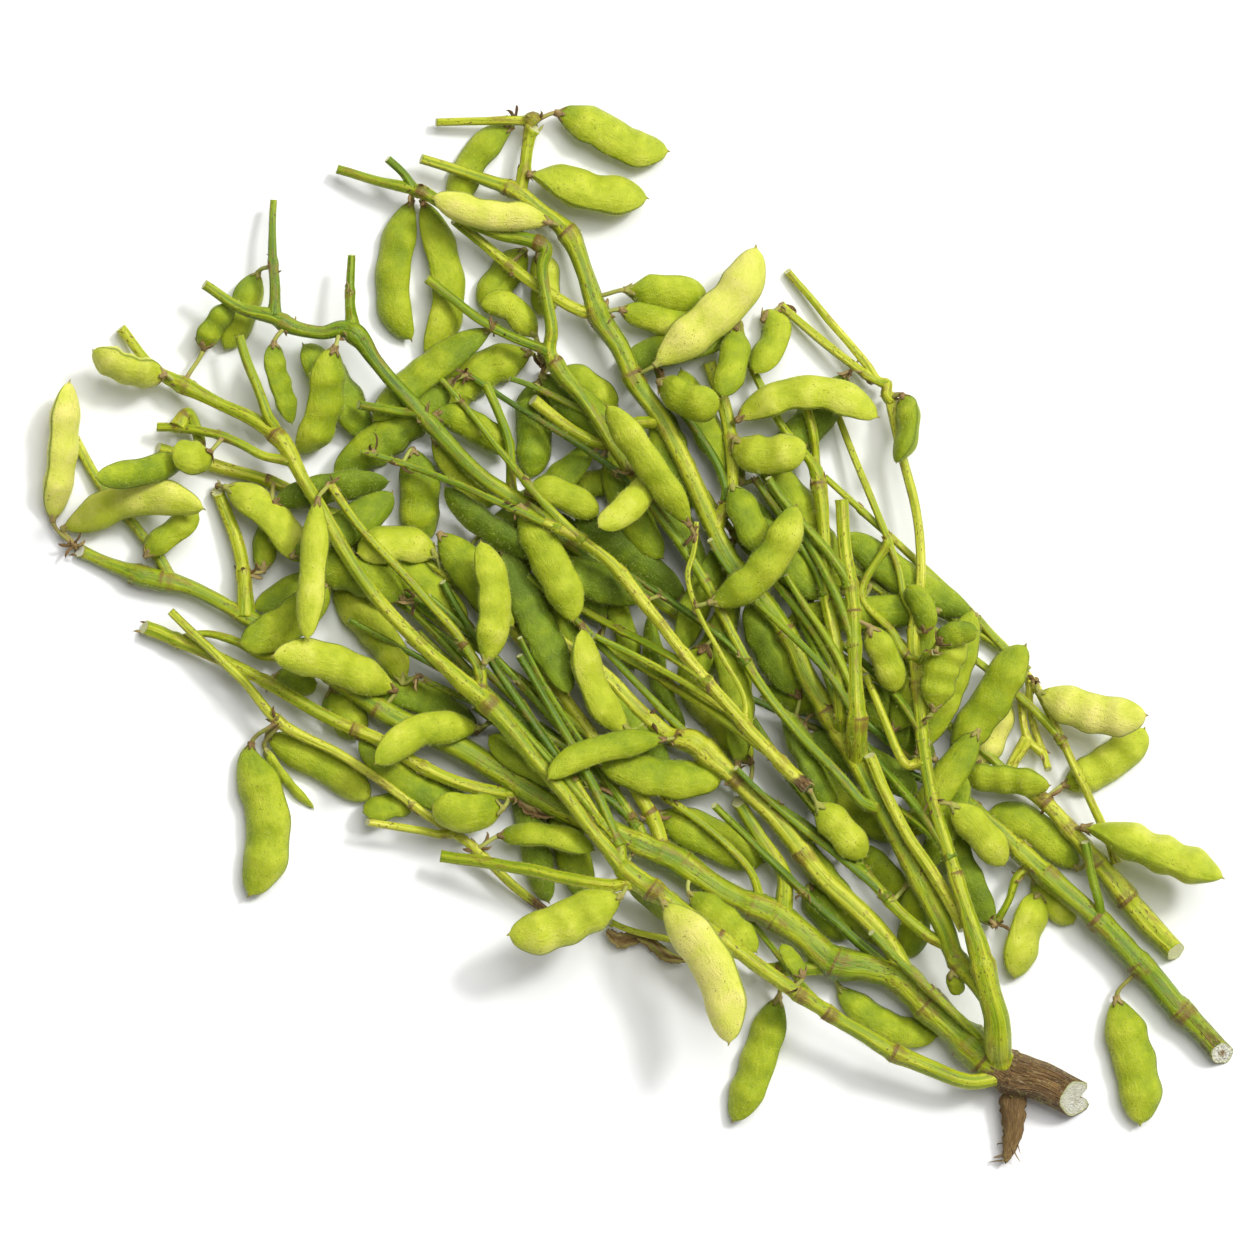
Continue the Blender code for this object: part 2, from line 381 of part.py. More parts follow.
def smooth_line(points, step):
    """Points no further apart than step on a Catmull-Rom curve through the given ones."""
    knots = [np.array(p, float) for p in points]
    padded = [2 * knots[0] - knots[1], *knots, 2 * knots[-1] - knots[-2]]
    line = []
    for before, start, end, after in zip(padded, padded[1:], padded[2:], padded[3:]):
        pieces = max(1, math.ceil(np.linalg.norm((end - start)[:2]) / step))
        for t in np.arange(pieces) / pieces:
            line.append(0.5 * (2 * start + (end - before) * t
                               + (2 * before - 5 * start + 4 * end - after) * t**2
                               + (3 * start - before - 3 * end + after) * t**3))
    return np.array([*line, knots[-1]])


def run_lengths(points):
    return np.concatenate([[0], np.cumsum(np.linalg.norm(np.diff(points[:, :2], axis=0), axis=1))])


def upper_hull(runs, heights):
    """The lowest arch over the heights, as a taut line laid over bumps."""
    hull = []
    for point in zip(runs, heights):
        while len(hull) > 1 and ((hull[-1][0] - hull[-2][0]) * (point[1] - hull[-2][1])
                                 >= (point[0] - hull[-2][0]) * (hull[-1][1] - hull[-2][1])):
            hull.pop()
        hull.append(point)
    return np.interp(runs, *np.array(hull).T)


def laid_heights(heap, line, base_height=None, clear_of=0.0):
    """Heights along a stem: an arch over what lies under it, from its parent's height where it has one."""
    runs = run_lengths(line)
    needed = np.array([heap.rest(x, y, width / 2, width / 2) for x, y, width in line])
    if base_height is not None:
        needed[runs < clear_of] = -1e3
        needed[0] = base_height
        needed[-1] = max(needed[-1], base_height if runs[-1] < clear_of else 0)
    arch = upper_hull(runs, needed)
    rounded = arch[None, :] - (runs[:, None] - runs[None, :]) ** 2 / (2 * BEND_RADIUS)
    heights = rounded.max(axis=1)
    if base_height is not None:
        fade = np.clip(runs / max(clear_of, 1), 0, 1)
        heights = arch + (heights - arch) * fade
    return heights


def fewest_points(points):
    """The points of a fine line that it takes to stay true to it, the ends included."""
    kept = {0, len(points) - 1}
    spans = [(0, len(points) - 1)]
    while spans:
        first, last = spans.pop()
        share = np.linspace(0, 1, last - first + 1)[:, None]
        straight = points[first] * (1 - share) + points[last] * share
        away = np.linalg.norm(points[first:last + 1] - straight, axis=1)
        farthest = first + int(away.argmax())
        if away.max() > TRUE_TO:
            kept.add(farthest)
            spans += [(first, farthest), (farthest, last)]
    return points[sorted(kept)]


def tube(name, points, widths, sides, material):
    """A closed tube through points, as a mesh object."""
    curve = bpy.data.curves.new(name, "CURVE")
    curve.dimensions = "3D"
    curve.bevel_depth = MM
    curve.bevel_resolution = sides
    curve.use_fill_caps = True
    spline = curve.splines.new("POLY")
    spline.points.add(len(points) - 1)
    for control, point, width in zip(spline.points, points, widths):
        control.co = (*(Vector(point) * MM), 1)
        control.radius = width / 2
    guide = bpy.data.objects.new(name + "_guide", curve)
    bpy.context.scene.collection.objects.link(guide)
    evaluated = guide.evaluated_get(bpy.context.evaluated_depsgraph_get())
    mesh = bpy.data.meshes.new_from_object(evaluated)
    bpy.data.objects.remove(guide)
    welded = bmesh.new()
    welded.from_mesh(mesh)
    bmesh.ops.remove_doubles(welded, verts=welded.verts, dist=WELD)
    bmesh.ops.recalc_face_normals(welded, faces=welded.faces)
    welded.to_mesh(mesh)
    welded.free()
    mesh.materials.clear()
    mesh.materials.append(material)
    mesh.shade_smooth()
    mesh.set_sharp_from_angle(angle=CREASE)
    return bpy.data.objects.new(name, mesh)


def joined(whole, parts, cutters):
    """Joins the parts to the first object. The default solver leaves a hole in the thickest stem's unions."""
    for part in parts:
        cutters.objects.link(part)
        part.hide_render = True
        part.display_type = "WIRE"
        union = whole.modifiers.new(part.name, "BOOLEAN")
        union.operation = "UNION"
        union.solver = "MANIFOLD"
        union.object = part


def nearest_height(laid, x, y, within):
    """The height of the nearest stem already laid, or None where none is within reach."""
    best, height = within, None
    for line, heights in laid:
        away = np.hypot(line[:, 0] - x, line[:, 1] - y)
        index = away.argmin()
        if away[index] < best:
            best, height = away[index], heights[index]
    return height


def add_stem(heap, laid, entry, material, collection, cutters):
    """Lays a stem, then its leaf stalks from their places on it, and adds them to the heap."""
    stalk = smooth_line(entry["route"], ROUTE_STEP)
    base = None
    if entry["parent"]:
        base = nearest_height(laid[entry["parent"]], *stalk[0, :2], PARENT_REACH)
    heights = laid_heights(heap, stalk, base, stalk[0, 2] + BRANCH_ROOM)
    lines = [(stalk, heights)]
    for route in entry["twigs"]:
        twig = smooth_line(route, ROUTE_STEP)
        start = nearest_height(lines[:1], *twig[0, :2], PARENT_REACH)
        lines.append((twig, laid_heights(heap, twig, start, stalk[:, 2].max() / 2 + twig[0, 2])))
    parts = []
    for number, (line, line_heights) in enumerate(lines):
        x, y, width = line.T
        few = fewest_points(np.column_stack([x, y, line_heights, width / 2]))
        name = f"{entry['name']}_{number}" if number else entry["name"]
        sides = STEM_SIDES if width.max() > THICK else TWIG_SIDES
        parts.append(tube(name, few[:, :3], 2 * few[:, 3], sides, material))
        for *spot, height, half in zip(x, y, line_heights, width / 2):
            heap.add(*spot, height, half, half)
    laid[entry["name"]] = lines
    collection.objects.link(parts[0])
    joined(parts[0], parts[1:], cutters)


def pod_rings(seeds):
    """(place along the body, share of the full width) of a pod's rings, swelling at each seed."""
    centres = [0.13 + 0.74 * (i + 0.5) / seeds for i in range(seeds)]
    rings = [(0.07, 0.52)]
    for number, centre in enumerate(centres):
        if number:
            rings.append(((centres[number - 1] + centre) / 2, 0.86))
        rings.append((centre, 1.0))
    return [*rings, (0.88, 0.72), (0.965, 0.2), (1.0, 0.0)]


def pod_sections(entry):
    """The pod's sections from stalk to beak: plan x, y, half width and half height, in millimetres."""
    line = smooth_line([(x, y, 0) for x, y in entry["route"]], 1.0)
    runs = run_lengths(line)
    rings = [(0, PEDICEL_WIDTH / 2), (PEDICEL, PEDICEL_WIDTH / 2)]
    body = runs[-1] - PEDICEL
    rings += [(PEDICEL + place * body, share * entry["width"] / 2) for place,
    share in pod_rings(entry["seeds"])]
    sections = []
    for run, half in rings:
        x, y = np.interp(run, runs, line[:, 0]), np.interp(run, runs, line[:, 1])
        sections.append((x, y, half))
    return np.array(sections)


def swing(heap, hub_height, plan, ratio):
    """(height at the stalk, slope) of a pod that rests on the heap, or hangs from its stem onto it."""
    chord = plan[-1, :2] - plan[0, :2]
    length = np.linalg.norm(chord)
    runs = (plan[:, :2] - plan[0, :2]) @ chord / length
    fine = np.linspace(0, 1, SAMPLES)
    place = fine * (len(plan) - 1)
    x, y, half, run = (np.interp(place, np.arange(len(plan)), v) for v in (*plan.T, runs))
    needed = np.array([heap.rest(*p, h, h * ratio) for *p, h in zip(x, y, half)])
    if hub_height is None:
        arch = upper_hull(run[np.argsort(run)], needed[np.argsort(run)])
        at = np.sort(run)
        middle = np.searchsorted(at, length * RESTS_AT)
        low, high = max(middle - 1, 0), min(middle + 1, len(at) - 1)
        slope = (arch[high] - arch[low]) / max(at[high] - at[low], 1e-6)
        slope = float(np.clip(slope, -STEEPEST, STEEPEST))
        start = (needed - slope * run).max()
        return start, slope
    start = max(hub_height, needed[run < STALK_RUN].max())
    beyond = run > STALK_RUN
    slope = max(-STEEPEST, ((needed[beyond] - start) / run[beyond]).max())
    return start, slope


def add_spray(heap, laid, entry, material, collection, cutters):
    """Lays the pods of one spray and adds them to the heap once all have found their place."""
    parts, placed, hubs = [], [], []
    stems = [line for lines in laid.values() for line in lines]
    plans = [pod_sections(member) for member in entry["pods"]]
    ratios = [EDGE_HEIGHT if member["edge"] else POD_FLATNESS for member in entry["pods"]]
    hub_height = nearest_height(stems, *plans[0][0, :2], HUB_REACH)
    common = max(swing(heap, hub_height, plan, ratio)[0] for plan, ratio in zip(plans, ratios))
    for number, (plan, ratio) in enumerate(zip(plans, ratios)):
        start, slope = swing(heap, common if len(plans) > 1 else hub_height, plan, ratio)
        chord = plan[-1, :2] - plan[0, :2]
        length = np.linalg.norm(chord)
        along = chord / length
        across = np.array([-along[1], along[0]])
        offsets = plan[:, :2] - plan[0, :2]
        stretch = math.hypot(1, slope)
        points = [(o @ along * stretch, o @ across, 0) for o in offsets]
        name = f"{entry['name']}_{number}" if number else entry["name"]
        body = tube(name, points, plan[:, 2] * 2, TWIG_SIDES, material)
        flatten = Matrix.Diagonal((1, 1, ratio, 1))
        tilt = Matrix.Rotation(-math.atan(slope), 4, "Y")
        turn = Matrix.Rotation(math.atan2(along[1], along[0]), 4, "Z")
        place = Matrix.Translation(Vector((*plan[0, :2], start)) * MM)
        body.data.transform(flatten)
        body.matrix_world = place @ turn @ tilt
        parts.append(body)
        hubs.append((*plan[0, :2], start))
        placed.append((plan, ratio, start, slope, along))
    for plan, ratio, start, slope, along in placed:
        fine = smooth_line(plan, 1.0)
        for x, y, half in fine:
            run = (np.array([x, y]) - plan[0, :2]) @ along
            half = max(half, THINNEST)
            heap.add(x, y, start + slope * run, half, half * ratio)
    if entry["joins"]:
        return parts, hubs[0]
    collection.objects.link(parts[0])
    joined(parts[0], parts[1:], cutters)
    return [], None


def tie(body, hub, lines, material):
    """A thin stalk from a pod's end to the nearest point of the stem that it grows on."""
    points = np.concatenate([np.column_stack([line[:, :2], heights]) for line, heights in lines])
    target = points[np.linalg.norm(points - hub, axis=1).argmin()]
    inside = np.array(body.matrix_world @ Vector((PEDICEL * MM / 2, 0, 0))) / MM
    return tube(body.name + "_stalk", [inside, hub, target], [PEDICEL_WIDTH] * 3, TWIG_SIDES, material)


def material_of(name):
    colour, metallic, roughness = FINISHES[name]
    material = bpy.data.materials.new(name)
    material.use_nodes = True
    shader = material.node_tree.nodes["Principled BSDF"]
    shader.inputs["Base Color"].default_value = (*colour, 1)
    shader.inputs["Metallic"].default_value = metallic
    shader.inputs["Roughness"].default_value = roughness
    return material


def stand_on_origin(objects):
    """Moves everything so that the bottom centre of the bounding box is the origin."""
    graph = bpy.context.evaluated_depsgraph_get()
    corners = []
    for item in objects:
        evaluated = item.evaluated_get(graph)
        mesh = evaluated.to_mesh()
        corners += [evaluated.matrix_world @ vertex.co for vertex in mesh.vertices]
        evaluated.to_mesh_clear()
    corners = np.array(corners)
    low, high = corners.min(axis=0), corners.max(axis=0)
    return Vector(((low[0] + high[0]) / 2, (low[1] + high[1]) / 2, low[2]))


def build():
    for item in list(bpy.context.scene.objects):
        bpy.data.objects.remove(item)
    collection = bpy.data.collections.new("edamame_pod_bundle")
    cutters = bpy.data.collections.new("joined_in")
    bpy.context.scene.collection.children.link(collection)
    bpy.context.scene.collection.children.link(cutters)
    materials = {name: material_of(name) for name in FINISHES}
    heap = HeightMap()
    laid = {}
    to_tie = []
    for entry in HEAP:
        material = materials[entry["finish"]]
        if "pods" in entry:
            loose, hub = add_spray(heap, laid, entry, material, collection, cutters)
            if loose:
                to_tie.append((entry["joins"], loose, hub, material))
        else:
            add_stem(heap, laid, entry, material, collection, cutters)
    for stem_name, loose, hub, material in to_tie:
        stalk = tie(loose[0], hub, laid[stem_name], material)
        joined(bpy.data.objects[stem_name], [stalk, *loose], cutters)
    bpy.context.view_layer.update()
    shift = stand_on_origin(collection.objects)
    for item in [*collection.objects, *cutters.objects]:
        item.matrix_world = Matrix.Translation(-shift) @ item.matrix_world
    cutters.hide_render = True


build()
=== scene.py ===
"""Edamame pod bundle: cut soybean stems with their leaf-stalk stubs and pods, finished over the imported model.

Every pod and stem is grown again, finely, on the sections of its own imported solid: a pod's rings are read
from its beak back to its stalk, and a stem's from the width of the solid across it.
"""

import collections
import json
import math

import bmesh
import bpy
import numpy as np
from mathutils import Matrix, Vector, noise
from mathutils.bvhtree import BVHTree


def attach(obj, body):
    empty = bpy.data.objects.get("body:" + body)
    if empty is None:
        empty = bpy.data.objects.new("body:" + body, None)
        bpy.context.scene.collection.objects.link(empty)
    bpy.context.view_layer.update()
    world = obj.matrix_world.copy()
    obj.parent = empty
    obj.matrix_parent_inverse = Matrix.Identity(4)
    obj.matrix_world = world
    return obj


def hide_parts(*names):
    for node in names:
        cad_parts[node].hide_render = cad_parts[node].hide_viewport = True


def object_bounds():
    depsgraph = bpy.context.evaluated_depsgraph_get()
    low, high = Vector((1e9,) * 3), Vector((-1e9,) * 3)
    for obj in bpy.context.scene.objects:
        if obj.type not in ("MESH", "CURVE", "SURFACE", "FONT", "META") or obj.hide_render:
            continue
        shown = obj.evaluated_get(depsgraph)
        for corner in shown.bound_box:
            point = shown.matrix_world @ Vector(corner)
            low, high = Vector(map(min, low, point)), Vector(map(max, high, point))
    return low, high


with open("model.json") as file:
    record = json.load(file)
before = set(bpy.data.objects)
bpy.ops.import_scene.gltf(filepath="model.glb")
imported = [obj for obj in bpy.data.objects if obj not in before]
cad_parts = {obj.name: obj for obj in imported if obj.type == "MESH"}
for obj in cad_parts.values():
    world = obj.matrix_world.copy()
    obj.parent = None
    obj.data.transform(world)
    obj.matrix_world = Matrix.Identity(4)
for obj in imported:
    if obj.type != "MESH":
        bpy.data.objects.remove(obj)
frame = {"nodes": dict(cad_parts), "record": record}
cad_low, cad_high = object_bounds()

MM = 0.001
UP = np.array((0.0, 0.0, 1.0))
# Every point of a piece is held between these corners, a hair inside the solids' own box.
INSIDE = (np.array(cad_low) + 0.03 * MM, np.array(cad_high) - 0.03 * MM)

CAMERA_AIM = (-0.0038, 0.0028)   # the middle of the view, over the heap
CAMERA_HEIGHT = 4.0
VIEW_WIDTH = 0.418
SENSOR = 36

POD_AROUND, POD_ALONG = 30, 58   # faces round and along a pod; a pod in the shade has two thirds of them
STALK_AROUND = 8
LEAST_RUN = 9.5 * MM             # shorter rows of sections are a pod's stalk, not a stem
PARENT_REACH = 17 * MM           # a twig this near to a stem springs from it
POD_REACH = 15 * MM              # and so does a pod's stalk
POD_NECK = 1.35 * MM             # a section narrower than this is the stalk, unless it is near the beak
BEAK_LENGTH = 8 * MM
STOUT = 3 * MM                   # half the width of a thick stem
SLIM = 1.5 * MM                  # and of a thin one
SHADE_STALKS, SHADE_PODS = 46, 150   # the most that are tried for in the depth of the heap
SEED = 11

# How ripe the pods of a spray are: 0 is deep green, 0.5 a fresh yellow-green, 1 pale yellow.
RIPENESS = {"pod_dark": 0.34, "pod_green": 0.49, "pod_light": 0.58, "pod_yellow": 0.78}
# The same for stems.
STEM_TONE = {"stem_dark": 0.39, "stem_green": 0.58, "stem_light": 0.72, "stem_woody": 0.57}
ON_STEM_RIPENESS = 0.36   # of the pods that are one solid with their stem
PAINTED_SHADE_TONE = 0.24         # painted shade: a stalk deep in the heap is painted this much darker green
SLOT_OF = {entry["node"]: entry["material_slot"] for entry in frame["record"]["subparts"]}


# ---------------------------------------------------------------- finishes

class Wire:
    """A value on its way to a finish. Sums and products of wires add the nodes that work them out."""

    def __init__(self, finish, socket):
        self.finish, self.socket = finish, socket

    def math(self, operation, first, second):
        return self.finish.node("ShaderNodeMath", {"operation": operation}, {0: first, 1: second})

    def __add__(self, other):
        return self.math("ADD", self, other)

    def __radd__(self, other):
        return self.math("ADD", other, self)

    def __sub__(self, other):
        return self.math("SUBTRACT", self, other)

    def __rsub__(self, other):
        return self.math("SUBTRACT", other, self)

    def __mul__(self, other):
        return self.math("MULTIPLY", self, other)

    def __rmul__(self, other):
        return self.math("MULTIPLY", other, self)


class Finish:
    """A finish in the making: a material with its Principled shader."""

    def __init__(self, name, **constants):
        self.material = bpy.data.materials.new(name)
        self.material.use_nodes = True
        self.nodes = self.material.node_tree.nodes
        self.links = self.material.node_tree.links
        self.shader = self.nodes["Principled BSDF"]
        for socket, value in constants.items():
            self.shader.inputs[socket.replace("_", " ")].default_value = value

    def node(self, kind, settings=None, sockets=None, out=0):
        """Adds a node: its settings first, then the values or wires of its sockets."""
        node = self.nodes.new(kind)
        for name, value in (settings or {}).items():
            if name == "stops":
                ramp = node.color_ramp
                while len(ramp.elements) < len(value):
                    ramp.elements.new(1.0)
                for element, (place, colour) in zip(ramp.elements, value):
                    element.position = place
                    element.color = (*colour, 1)
            else:
                setattr(node, name, value)
        for key, value in (sockets or {}).items():
            self.join(value, node.inputs[key])
        return Wire(self, node.outputs[out])

    def join(self, value, socket):
        if isinstance(value, Wire):
            self.links.new(value.socket, socket)
        else:
            socket.default_value = value

    def feed(self, socket, wire):
        self.links.new(wire.socket, self.shader.inputs[socket])

    def mark(self, name):
        """A mark that the piece carries, from 0 to 1."""
        return self.node("ShaderNodeAttribute", {"attribute_name": name}, out="Fac")

    def skin(self):
        """The place on the straightened skin, in millimetres."""
        return self.node("ShaderNodeAttribute", {"attribute_name": "skin"}, out="Vector")

    def grain(self, vector, scale, detail, roughness=0.55, stretch=None):
        """Noise over the skin, drawn out along the axes whose stretch is under 1."""
        if stretch:
            vector = self.node("ShaderNodeVectorMath", {"operation": "MULTIPLY"}, {0: vector, 1: stretch})
        return self.node("ShaderNodeTexNoise", sockets={
            "Vector": vector, "Scale": scale, "Detail": detail, "Roughness": roughness})

    def between(self, wire, low, high):
        """0 at low and 1 at high, eased."""
        easing = {"interpolation_type": "SMOOTHSTEP"}
        return self.node("ShaderNodeMapRange", easing, {0: wire, 1: low, 2: high})

    def ramp(self, wire, stops):
        return self.node("ShaderNodeValToRGB", {"stops": stops}, {0: wire})

    def mix(self, share, first, second):
        """The first colour, with a share of the second over it."""
        first, second = ((*colour, 1) if isinstance(colour, tuple) else colour for colour in (first, second))
        return self.node("ShaderNodeMix", {"data_type": "RGBA"}, {0: share, 6: first, 7: second}, out=2)

    def raise_by(self, height, depth):
        """Bumps the surface by a height from 0 to 1, depth metres high."""
        self.feed("Normal", self.node("ShaderNodeBump", sockets={
            "Strength": 1.0, "Distance": depth, "Height": height}))


def pod_skin():
    """Yellow-green and blotched, paler where it ripens, with a dark seam, brown specks and a dry beak; painted
    light makes it paler over the seed bulges and darker at the waists.
    """
    finish = Finish("pod_skin", IOR=1.38, Subsurface_Weight=0.10, Subsurface_Scale=0.0015,
                    Subsurface_Radius=(0.5, 0.6, 0.08), Sheen_Weight=0.10, Sheen_Roughness=0.4,
                    Sheen_Tint=(0.9, 0.95, 0.4, 1))
    skin = finish.skin()
    tone, swell, seam, along = (finish.mark(name) for name in ("tone", "swell", "seam", "along"))
    broad = finish.grain(skin, 0.06, 2.0)
    blotch = finish.grain(skin, 0.22, 4.0, 0.62)
    fine = finish.grain(skin, 2.6, 3.0, 0.6)
    veins = finish.grain(skin, 0.9, 4.0, 0.6, (1.0, 1.0, 0.32))
    # The swell term is painted light: paler over the seed bulges and on the flat faces, darker at the waists
    # and towards the edges.
    ripe_with_painted_shading = (tone + (broad - 0.5) * 0.55 + (blotch - 0.5) * 0.50 + (swell - 0.5) * 0.10
            + (veins - 0.5) * 0.14)
    colour = finish.ramp(ripe_with_painted_shading, [
        (0.00, (0.110, 0.175, 0.003)), (0.22, (0.200, 0.290, 0.004)), (0.42, (0.350, 0.430, 0.007)),
        (0.62, (0.520, 0.580, 0.030)), (0.82, (0.690, 0.700, 0.105)), (1.00, (0.800, 0.740, 0.190))])
    colour = finish.mix(finish.between(seam, 0.25, 0.90) * 0.75, colour, (0.13, 0.19, 0.007))
    pale = finish.between(fine, 0.55, 0.75) * 0.22
    colour = finish.mix(pale, colour, (0.72, 0.74, 0.17))
    specks = finish.between(finish.grain(skin, 1.5, 2.0, 0.5), 0.648, 0.70)
    colour = finish.mix(specks * finish.between(broad, 0.36, 0.60) * 0.80, colour, (0.15, 0.080, 0.012))
    bruise = finish.between(finish.grain(skin, 0.35, 4.0, 0.7), 0.66, 0.76) * finish.between(tone, 0.45, 0.85)
    colour = finish.mix(bruise * 0.45, colour, (0.30, 0.17, 0.035))
    beak = finish.between(along + (blotch - 0.5) * 0.03, 0.962, 0.99)
    colour = finish.mix(beak * 0.85, colour, (0.20, 0.115, 0.035))
    neck = finish.between(along, 0.085, 0.02)
    colour = finish.mix(neck * 0.45, colour, (0.18, 0.20, 0.03))
    finish.feed("Base Color", colour)
    finish.feed("Roughness", 0.38 + fine * 0.16 + bruise * 0.18)
    finish.raise_by(fine * 0.70 + veins * 0.80 + blotch * 0.35, 0.00052)
    return finish.material


def stem_skin():
    """Green and streaked along its length, rusty at the joints, with brown bark and pale pith at a cut, and
    painted shade darkening its grooves.
    """
    finish = Finish("stem_skin", IOR=1.38, Subsurface_Weight=0.04, Subsurface_Scale=0.001,
                    Subsurface_Radius=(0.5, 0.6, 0.08), Sheen_Weight=0.02, Sheen_Roughness=0.45)
    skin = finish.skin()
    tone, knot, bark, cut, groove = (finish.mark(name) for name in ("tone", "knot", "bark", "cut", "groove"))
    lengthwise = finish.grain(skin, 1.1, 4.0, 0.6, (1.0, 1.0, 0.035))
    streak = finish.grain(skin, 2.6, 2.0, 0.5, (1.0, 1.0, 0.012))
    broad = finish.grain(skin, 0.045, 2.0, stretch=(0.4, 0.4, 1.0))
    blotch = finish.grain(skin, 0.30, 4.0, 0.65)
    fine = finish.grain(skin, 3.2, 3.0, 0.6)
    # The term from the grooves is painted shade: darker green down the grooves between the ridges.
    ripe_with_painted_shading = (tone + (broad - 0.5) * 0.50 + (lengthwise - 0.5) * 0.60 + (streak - 0.5) * 0.40
            - finish.between(groove, 0.3, 0.9) * 0.16)
    colour = finish.ramp(ripe_with_painted_shading, [
        (0.00, (0.062, 0.120, 0.002)), (0.20, (0.130, 0.225, 0.003)), (0.42, (0.268, 0.350, 0.006)),
        (0.62, (0.450, 0.490, 0.016)), (0.82, (0.630, 0.625, 0.062)), (1.00, (0.770, 0.740, 0.190))])
    specks = finish.between(finish.grain(skin, 1.5, 2.0, 0.5, (1.0, 1.0, 0.45)), 0.61, 0.66)
    colour = finish.mix(specks * finish.between(broad, 0.35, 0.55) * 0.80, colour, (0.12, 0.065, 0.012))
    rust = finish.between(finish.grain(skin, 0.42, 4.0, 0.7, (1.0, 1.0, 0.25)) + knot * 0.22, 0.53, 0.66)
    colour = finish.mix(rust * 0.60, colour, (0.26, 0.17, 0.022))
    brown = finish.mix(lengthwise, (0.085, 0.042, 0.008), (0.25, 0.145, 0.028))
    scarred = finish.between(knot + (fine - 0.5) * 0.8 + (lengthwise - 0.5) * 0.5, 0.28, 0.72)
    colour = finish.mix(scarred * 0.90, colour, brown)
    fibres = finish.between(streak * 0.55 + lengthwise * 0.45, 0.36, 0.66)
    wood = finish.mix(fibres, (0.060, 0.027, 0.008), (0.34, 0.200, 0.070))
    flakes = finish.between(finish.grain(skin, 0.9, 4.0, 0.7, (1.0, 1.0, 0.3)), 0.56, 0.62)
    wood = finish.mix(flakes * 0.45, wood, (0.52, 0.40, 0.20))
    barked = finish.between(bark + (lengthwise - 0.5) * 0.9 + (blotch - 0.5) * 0.5, 0.40, 0.62)
    colour = finish.mix(barked, colour, wood)
    pith = finish.ramp(cut + (fine - 0.5) * 0.30 + (streak - 0.5) * 0.16, [
        (0.00, (0.30, 0.30, 0.05)), (0.22, (0.62, 0.62, 0.28)), (0.45, (0.84, 0.83, 0.62)),
        (0.86, (0.90, 0.89, 0.76)), (0.97, (0.50, 0.38, 0.20)), (1.00, (0.22, 0.13, 0.06))])
    colour = finish.mix(finish.between(cut, 0.04, 0.12), colour, pith)
    finish.feed("Base Color", colour)
    finish.feed("Roughness", 0.28 + fine * 0.18 + barked * 0.34)
    rough = barked * (fibres * 1.2 + flakes * 0.6)
    finish.raise_by(lengthwise * 0.8 + streak * 0.35 + fine * 0.25 + rough, 0.00050)
    return finish.material


def dry_skin():
    """Brown, straw-coloured and dull green: bracts, leaf remains, the root, and the pods' stalks and cups."""
    finish = Finish("dry_skin", IOR=1.40, Subsurface_Weight=0.0)
    skin = finish.skin()
    tone = finish.mark("tone")
    lengthwise = finish.grain(skin, 1.6, 4.0, 0.65, (1.0, 1.0, 0.12))
    fine = finish.grain(skin, 3.0, 3.0, 0.6)
    shade = tone + (lengthwise - 0.5) * 0.9 + (fine - 0.5) * 0.35
    finish.feed("Base Color", finish.ramp(shade, [
        (0.00, (0.070, 0.036, 0.012)), (0.28, (0.185, 0.110, 0.035)), (0.52, (0.36, 0.26, 0.10)),
        (0.75, (0.33, 0.36, 0.055)), (1.00, (0.48, 0.50, 0.14))]))
    finish.feed("Roughness", 0.62 + fine * 0.25)
    finish.raise_by(lengthwise * 0.8 + fine * 0.4, 0.00035)
    return finish.material


def down_skin():
    return Finish("down", Base_Color=(0.66, 0.70, 0.20, 1), Roughness=0.6, Subsurface_Weight=0.0).material


# ---------------------------------------------------------------- curves

def flow(knots, values, at):
    """Values at the places `at` on a smooth curve through the values at the knots."""
    knots = np.asarray(knots, float)
    values = np.asarray(values, float)
    flat = values.ndim == 1
    values = values[:, None] if flat else values
    spans = np.diff(knots)
    rises = np.diff(values, axis=0) / spans[:, None]
    inner = (rises[:-1] * spans[1:, None] + rises[1:] * spans[:-1, None]) / (spans[1:] + spans[:-1])[:, None]
    slopes = np.vstack([rises[:1], inner, rises[-1:]])
    last = np.clip(np.searchsorted(knots, at) - 1, 0, len(spans) - 1)
    span = spans[last][:, None]
    way = (np.asarray(at, float) - knots[last])[:, None] / span
    made = ((1 + 2 * way) * (1 - way) ** 2 * values[last] + way * (1 - way) ** 2 * span * slopes[last]
            + way * way * (3 - 2 * way) * values[last + 1] + way * way * (way - 1) * span * slopes[last + 1])
    return made[:, 0] if flat else made


def hump(places, width, middle=0.0):
    """1 at the middle, and falling away smoothly on both sides."""
    return np.exp(-((places - middle) / width) ** 2)


def runs_of(points):
    """How far along the line each of its points is."""
    return np.concatenate([[0.0], np.cumsum(np.linalg.norm(np.diff(points, axis=0), axis=1))])


def unit(vectors):
    vectors = np.asarray(vectors, float)
    return vectors / np.maximum(np.linalg.norm(vectors, axis=-1, keepdims=True), 1e-12)


def bent(start, leaving, end, arriving, count):
    """A smooth line between two points that leaves and arrives in the given directions."""
    reach = np.linalg.norm(end - start)
    way = np.linspace(0, 1, count)[:, None]
    return ((1 + 2 * way) * (1 - way) ** 2 * start + way * (1 - way) ** 2 * reach * leaving
            + way * way * (3 - 2 * way) * end + way * way * (way - 1) * reach * arriving)


